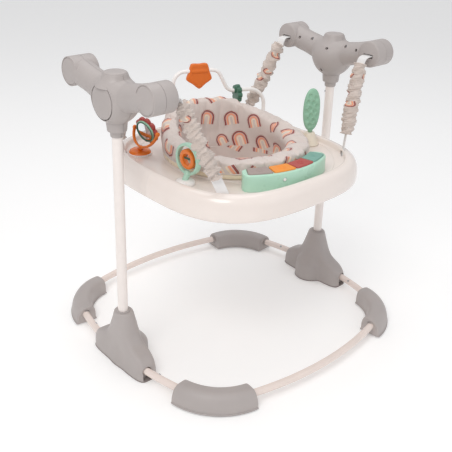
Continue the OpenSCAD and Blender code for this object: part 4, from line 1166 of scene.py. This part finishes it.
keyMid = [keyboard["first"] + (k + 0.5) * keyboard["pitch"] for k in range(4)]
wellRows = [(999, 526.6), (0, 526.6), (0, 531), (999, 531)]
keyR = keyboard["keyRadius"]
keyHalf = keyR * math.radians(keyboard["keyTurn"])
carve(case, [bentBlock(m, keyR, keyHalf - 0.6, 19.6, wellRows, 12) for m in keyMid], 50)
buttonTurn, buttonR, buttonZ = keyboard["button"]
buttonPlace = turned("Z", buttonTurn) @ at(buttonR, 0, buttonZ) @ turned("Y", 90)
carve(case, [placed(lathe([(0, -8), (4.9, -8), (4.9, 4), (0, 4)], cols=40), buttonPlace)], 50)
keyRows = [(999, 525), (0, 525), (0, 530.6), (0.35, 531.7), (1.1, 532.3), (2.4, 532.5), (6, 532.6),
           (999, 532.7)]
keyLooks = (keyTaupe, keyOrange, keyRed, keyTeal)
for k, (body, look) in enumerate(zip(("key_one", "key_two", "key_three", "key_four"), keyLooks)):
    parts = [bentBlock(keyMid[k], keyR, keyHalf - 1.5, 18.9, keyRows, 12)]
    # a raised sign on each key: plain rings
    here = turned("Z", keyMid[k]) @ at(keyR, 0, 532.6)
    for size in ((7, 0), (10, 5), (9, 4.5), (6, 2.5))[k]:
        if size:
            ringHere = np.stack([size * np.cos(turnA[::4]), size * np.sin(turnA[::4]), 0 * turnA[::4]], -1)
            parts.append(placed(sweep(ringHere, circle(0.7, 8), loop=True), here))
    makePiece("Key_%d" % (k + 1), parts, look, body, ["key_%d" % (k + 1)])
buttonRows = [(0, -6), (4, -6), (4, 0.6), (3.5, 1.3), (2, 1.5), (0, 1.5)]
makePiece("Power_button", [placed(lathe(buttonRows, cols=40), buttonPlace)], whitePlastic, "power_key",
          ["power_button"])

# the paddle: an oval blade with dimples on both faces, on a cone
paddle = {"at": (226, -60), "yaw": -28, "z": 587, "half": (24, 60), "thick": 7}
dimples = [(-8, 40), (9, 34), (-13, 22), (2, 20), (14, 12), (-6, 4), (-16, -4), (7, -4), (16, -16), (-3, -15),
           (-12, -26), (5, -30), (-4, -43), (10, -43)]


# a flattened oval: z = thickness (1 - rho^6)^(1/2), pressed in round each dimple
def bladeGrid(rings=70, cols=220):
    rho = np.sin(np.linspace(0, np.pi / 2, rings))[:, None]
    a = (np.arange(cols) * 2 * np.pi / cols)[None]
    x = paddle["half"][0] * rho * np.sign(np.cos(a)) * np.abs(np.cos(a)) ** 0.88
    y = paddle["half"][1] * rho * np.sign(np.sin(a)) * np.abs(np.sin(a)) ** 0.93
    thick = paddle["thick"] * np.sqrt((1 - rho ** 6).clip(0)) + 0 * a
    press = sum(np.exp(-(((x - px) ** 2 + ((y - py) / 1.3) ** 2) / 4.8 ** 2) ** 2) for px, py in dimples)
    z = thick - 3.2 * press * np.clip(thick / 4, 0, 1)
    front, back = np.stack([x, y, z], -1)[::-1], np.stack([x, y, -z], -1)
    return gridSurface(np.concatenate([back[:-1], front]))


bladePlace = at(*paddle["at"], paddle["z"]) @ turned("Z", paddle["yaw"]) @ turned("X", 90)
spindle = lathe([(0, 499.6), (4.1, 499.6), (4.1, 524), (6.5, 526), (7.5, 532), (0, 532)],
                (*paddle["at"], 0), 48)
makePiece("Paddle", [placed(bladeGrid(), bladePlace), spindle], sagePlastic, "paddle_toy",
          ["paddle"], sharp=60)
cone = [(0, 487.2), (25.4, 487.2), (26, 488.2), (26, 490.4), (24.8, 491.4), (22, 500), (17.5, 512),
        (14.2, 520), (13, 522.6), (11.6, 523.2), (5, 523.2), (4.4, 522), (4.4, 500), (0, 500)]
makePiece("Paddle_base", [lathe(cone, (*paddle["at"], 0), 96)], coneCream, "tray",
          ["paddle_base"])

# the toy bar: a bent tube in an upright plane, with a star and a leaf that spin on it
bar = {"from": (-25, 240), "yaw": -19.7, "r": 5.5, "starS": 80, "leafS": 199}
barPlace = at(*bar["from"], 0) @ turned("Z", bar["yaw"]) @ turned("X", 90)
corners = np.array([(4, 487), (4, 665), (136.3, 665), (169.7, 600), (285, 600), (285, 487)], float)
barPath = filletPath(np.hstack([corners, np.zeros((6, 1))]), [33, 30, 30, 50], 2.0)
barPart = placed(sweep(barPath, circle(bar["r"], 32)), barPlace)
sockets = []
for s in (4, 285):
    spot = np.array(barPlace @ Vector((s, 0, 0)))
    sockets.append(lathe([(5.6, 487), (11, 487), (11, 489), (9.4, 491), (7.6, 498), (6.8, 499), (5.6, 499)],
                         (spot[0], spot[1], 0), 48, loop=True))
makePiece("Toy_bar", [barPart], whitePlastic, "tray", ["toy_bar"])
makePiece("Toy_bar_sockets", sockets, creamPlastic, "tray")
psi = (turnA + np.pi / 2 + np.pi / 5) % (2 * np.pi / 5) - np.pi / 5
side5 = 32.6 / np.cos(np.pi / 5 - np.abs(psi))
starOutline = softMin(side5, np.full_like(side5, 39), 5) - 0.8 * np.cos(5 * (turnA + np.pi / 2 + np.pi))
starPlace = barPlace @ at(bar["starS"], 653, 0)
starParts = [placed(shapedDisc(starOutline, roundedRim(-7, 7, 3.4)), starPlace)]
starLine = starOutline - 7
line = np.stack([starLine * np.cos(turnA), starLine * np.sin(turnA), 0 * turnA + 7], -1)
starParts.append(placed(sweep(line, circle(0.8, 8), loop=True), starPlace))
starParts.append(placed(sweep(line * (1, 1, -1), circle(0.8, 8), loop=True), starPlace))
starParts.append(placed(lathe([(5.9, -24), (8.4, -24), (9.4, -23), (9.4, 23), (8.4, 24), (5.9, 24)], cols=48,
                              loop=True), barPlace @ at(bar["starS"], 665, 0) @ turned("Y", 90)))
makePiece("Star", starParts, teetherOrange, "star_toy", ["star"])
leafOutline = 20.5 + 6.3 * np.abs(np.cos(4 * turnA)) ** 0.7
leafPlace = barPlace @ at(bar["leafS"], 590, 0) @ turned("Y", 90)
leafParts = [placed(shapedDisc(leafOutline, roundedRim(-7, 7, 3)), leafPlace)]
leafParts.append(placed(lathe([(5.9, -11), (8, -11), (9, -10), (9, 10), (8, 11), (5.9, 11)], cols=48,
                              loop=True), barPlace @ at(bar["leafS"], 600, 0) @ turned("Y", 90)))
makePiece("Leaf", leafParts, darkGreenPlastic, "leaf_toy", ["leaf"])
print("toys made")


# ---- finishes of the CAD nodes that stay ----
def dress(material, *names):
    for name in names:
        for slot in nodes[name].material_slots:
            slot.material = material


dress(tubePaint, *["base_tube_" + spot for spot in ("front_left", "front_right", "rear_left", "rear_right")])
dress(postPaint, "post_left", "post_right")
dress(zinc, "base_links", "snap_buttons", "strap_pins")
dress(creamPlastic, "strap_buckles", "seat_retainer")
dress(nylon, "seat_glides")
dress(mintPlastic, "keyboard_floor")
dress(board, "circuit_board")
dress(batterySteel, "batteries")


# ---- floor, light and camera ----
# matte studio paper: it glows faintly, as a lit sweep does, and has a soft unevenness
def studioPaper(name, code, rough):
    mat, tree, shader, coords = startMaterial(name, code, rough)
    shader.inputs["Emission Color"].default_value = (1, 1, 1, 1)
    shader.inputs["Emission Strength"].default_value = 0.16
    soft = addNode(tree, "ShaderNodeTexNoise", {"Scale": 6, "Detail": 2},
                   {"Vector": coords.outputs["Object"]})
    addBump(tree, shader, soft.outputs["Fac"], 0.02 * mm)
    return mat


floorHalf, floorZ = 30, -0.0005
floorMesh = bpy.data.meshes.new("Floor")
floorCorners = [(floorHalf * x, floorHalf * y, floorZ) for x, y in ((-1, -1), (1, -1), (1, 1), (-1, 1))]
floorMesh.from_pydata(floorCorners, [], [(0, 1, 2, 3)])
floor = bpy.data.objects.new("Floor", floorMesh)
bpy.context.scene.collection.objects.link(floor)
floorMesh.materials.append(studioPaper("Pale_studio_floor", "f4f3f2", 0.75))


def areaLight(name, place, target, size, watts, colour=(1, 1, 1)):
    data = bpy.data.lights.new(name, "AREA")
    data.shape = "DISK"
    data.size = size
    data.energy = watts
    data.color = colour
    lamp = bpy.data.objects.new(name, data)
    lamp.location = place
    lamp.rotation_euler = (Vector(target) - Vector(place)).to_track_quat("-Z", "Y").to_euler()
    bpy.context.scene.collection.objects.link(lamp)


areaLight("Key", (-1.9, -1.0, 2.6), (0, 0, 0.45), 1.6, 32, (1, 0.985, 0.965))
areaLight("Fill", (1.2, -2.6, 1.5), (0, 0, 0.4), 2.2, 7, (0.97, 0.985, 1))
areaLight("Top", (0.3, 0.6, 3.2), (0, 0, 0.3), 2.6, 21)
world = bpy.data.worlds.new("Studio")
world.use_nodes = True
world.node_tree.nodes["Background"].inputs[0].default_value = (0.97, 0.98, 1, 1)
world.node_tree.nodes["Background"].inputs[1].default_value = 0.62
bpy.context.scene.world = world

camera = {"place": (-1.2418, -1.3356, 1.175), "target": (-0.0658, -0.0277, 0.4), "lens": 58.2,
          "roll": 1.64, "shift": (0.0087, -0.0692)}
lens = bpy.data.cameras.new("Camera")
lens.lens = camera["lens"]
lens.sensor_width = 36
lens.shift_x, lens.shift_y = camera["shift"]
eye = bpy.data.objects.new("Camera", lens)
look = Vector(camera["target"]) - Vector(camera["place"])
eye.matrix_world = (Matrix.Translation(camera["place"])
                    @ look.to_track_quat("-Z", "Y").to_matrix().to_4x4()
                    @ turned("Z", camera["roll"]))
bpy.context.scene.collection.objects.link(eye)
bpy.context.scene.camera = eye
bpy.context.scene.view_settings.view_transform = "Standard"

print("scene ready")
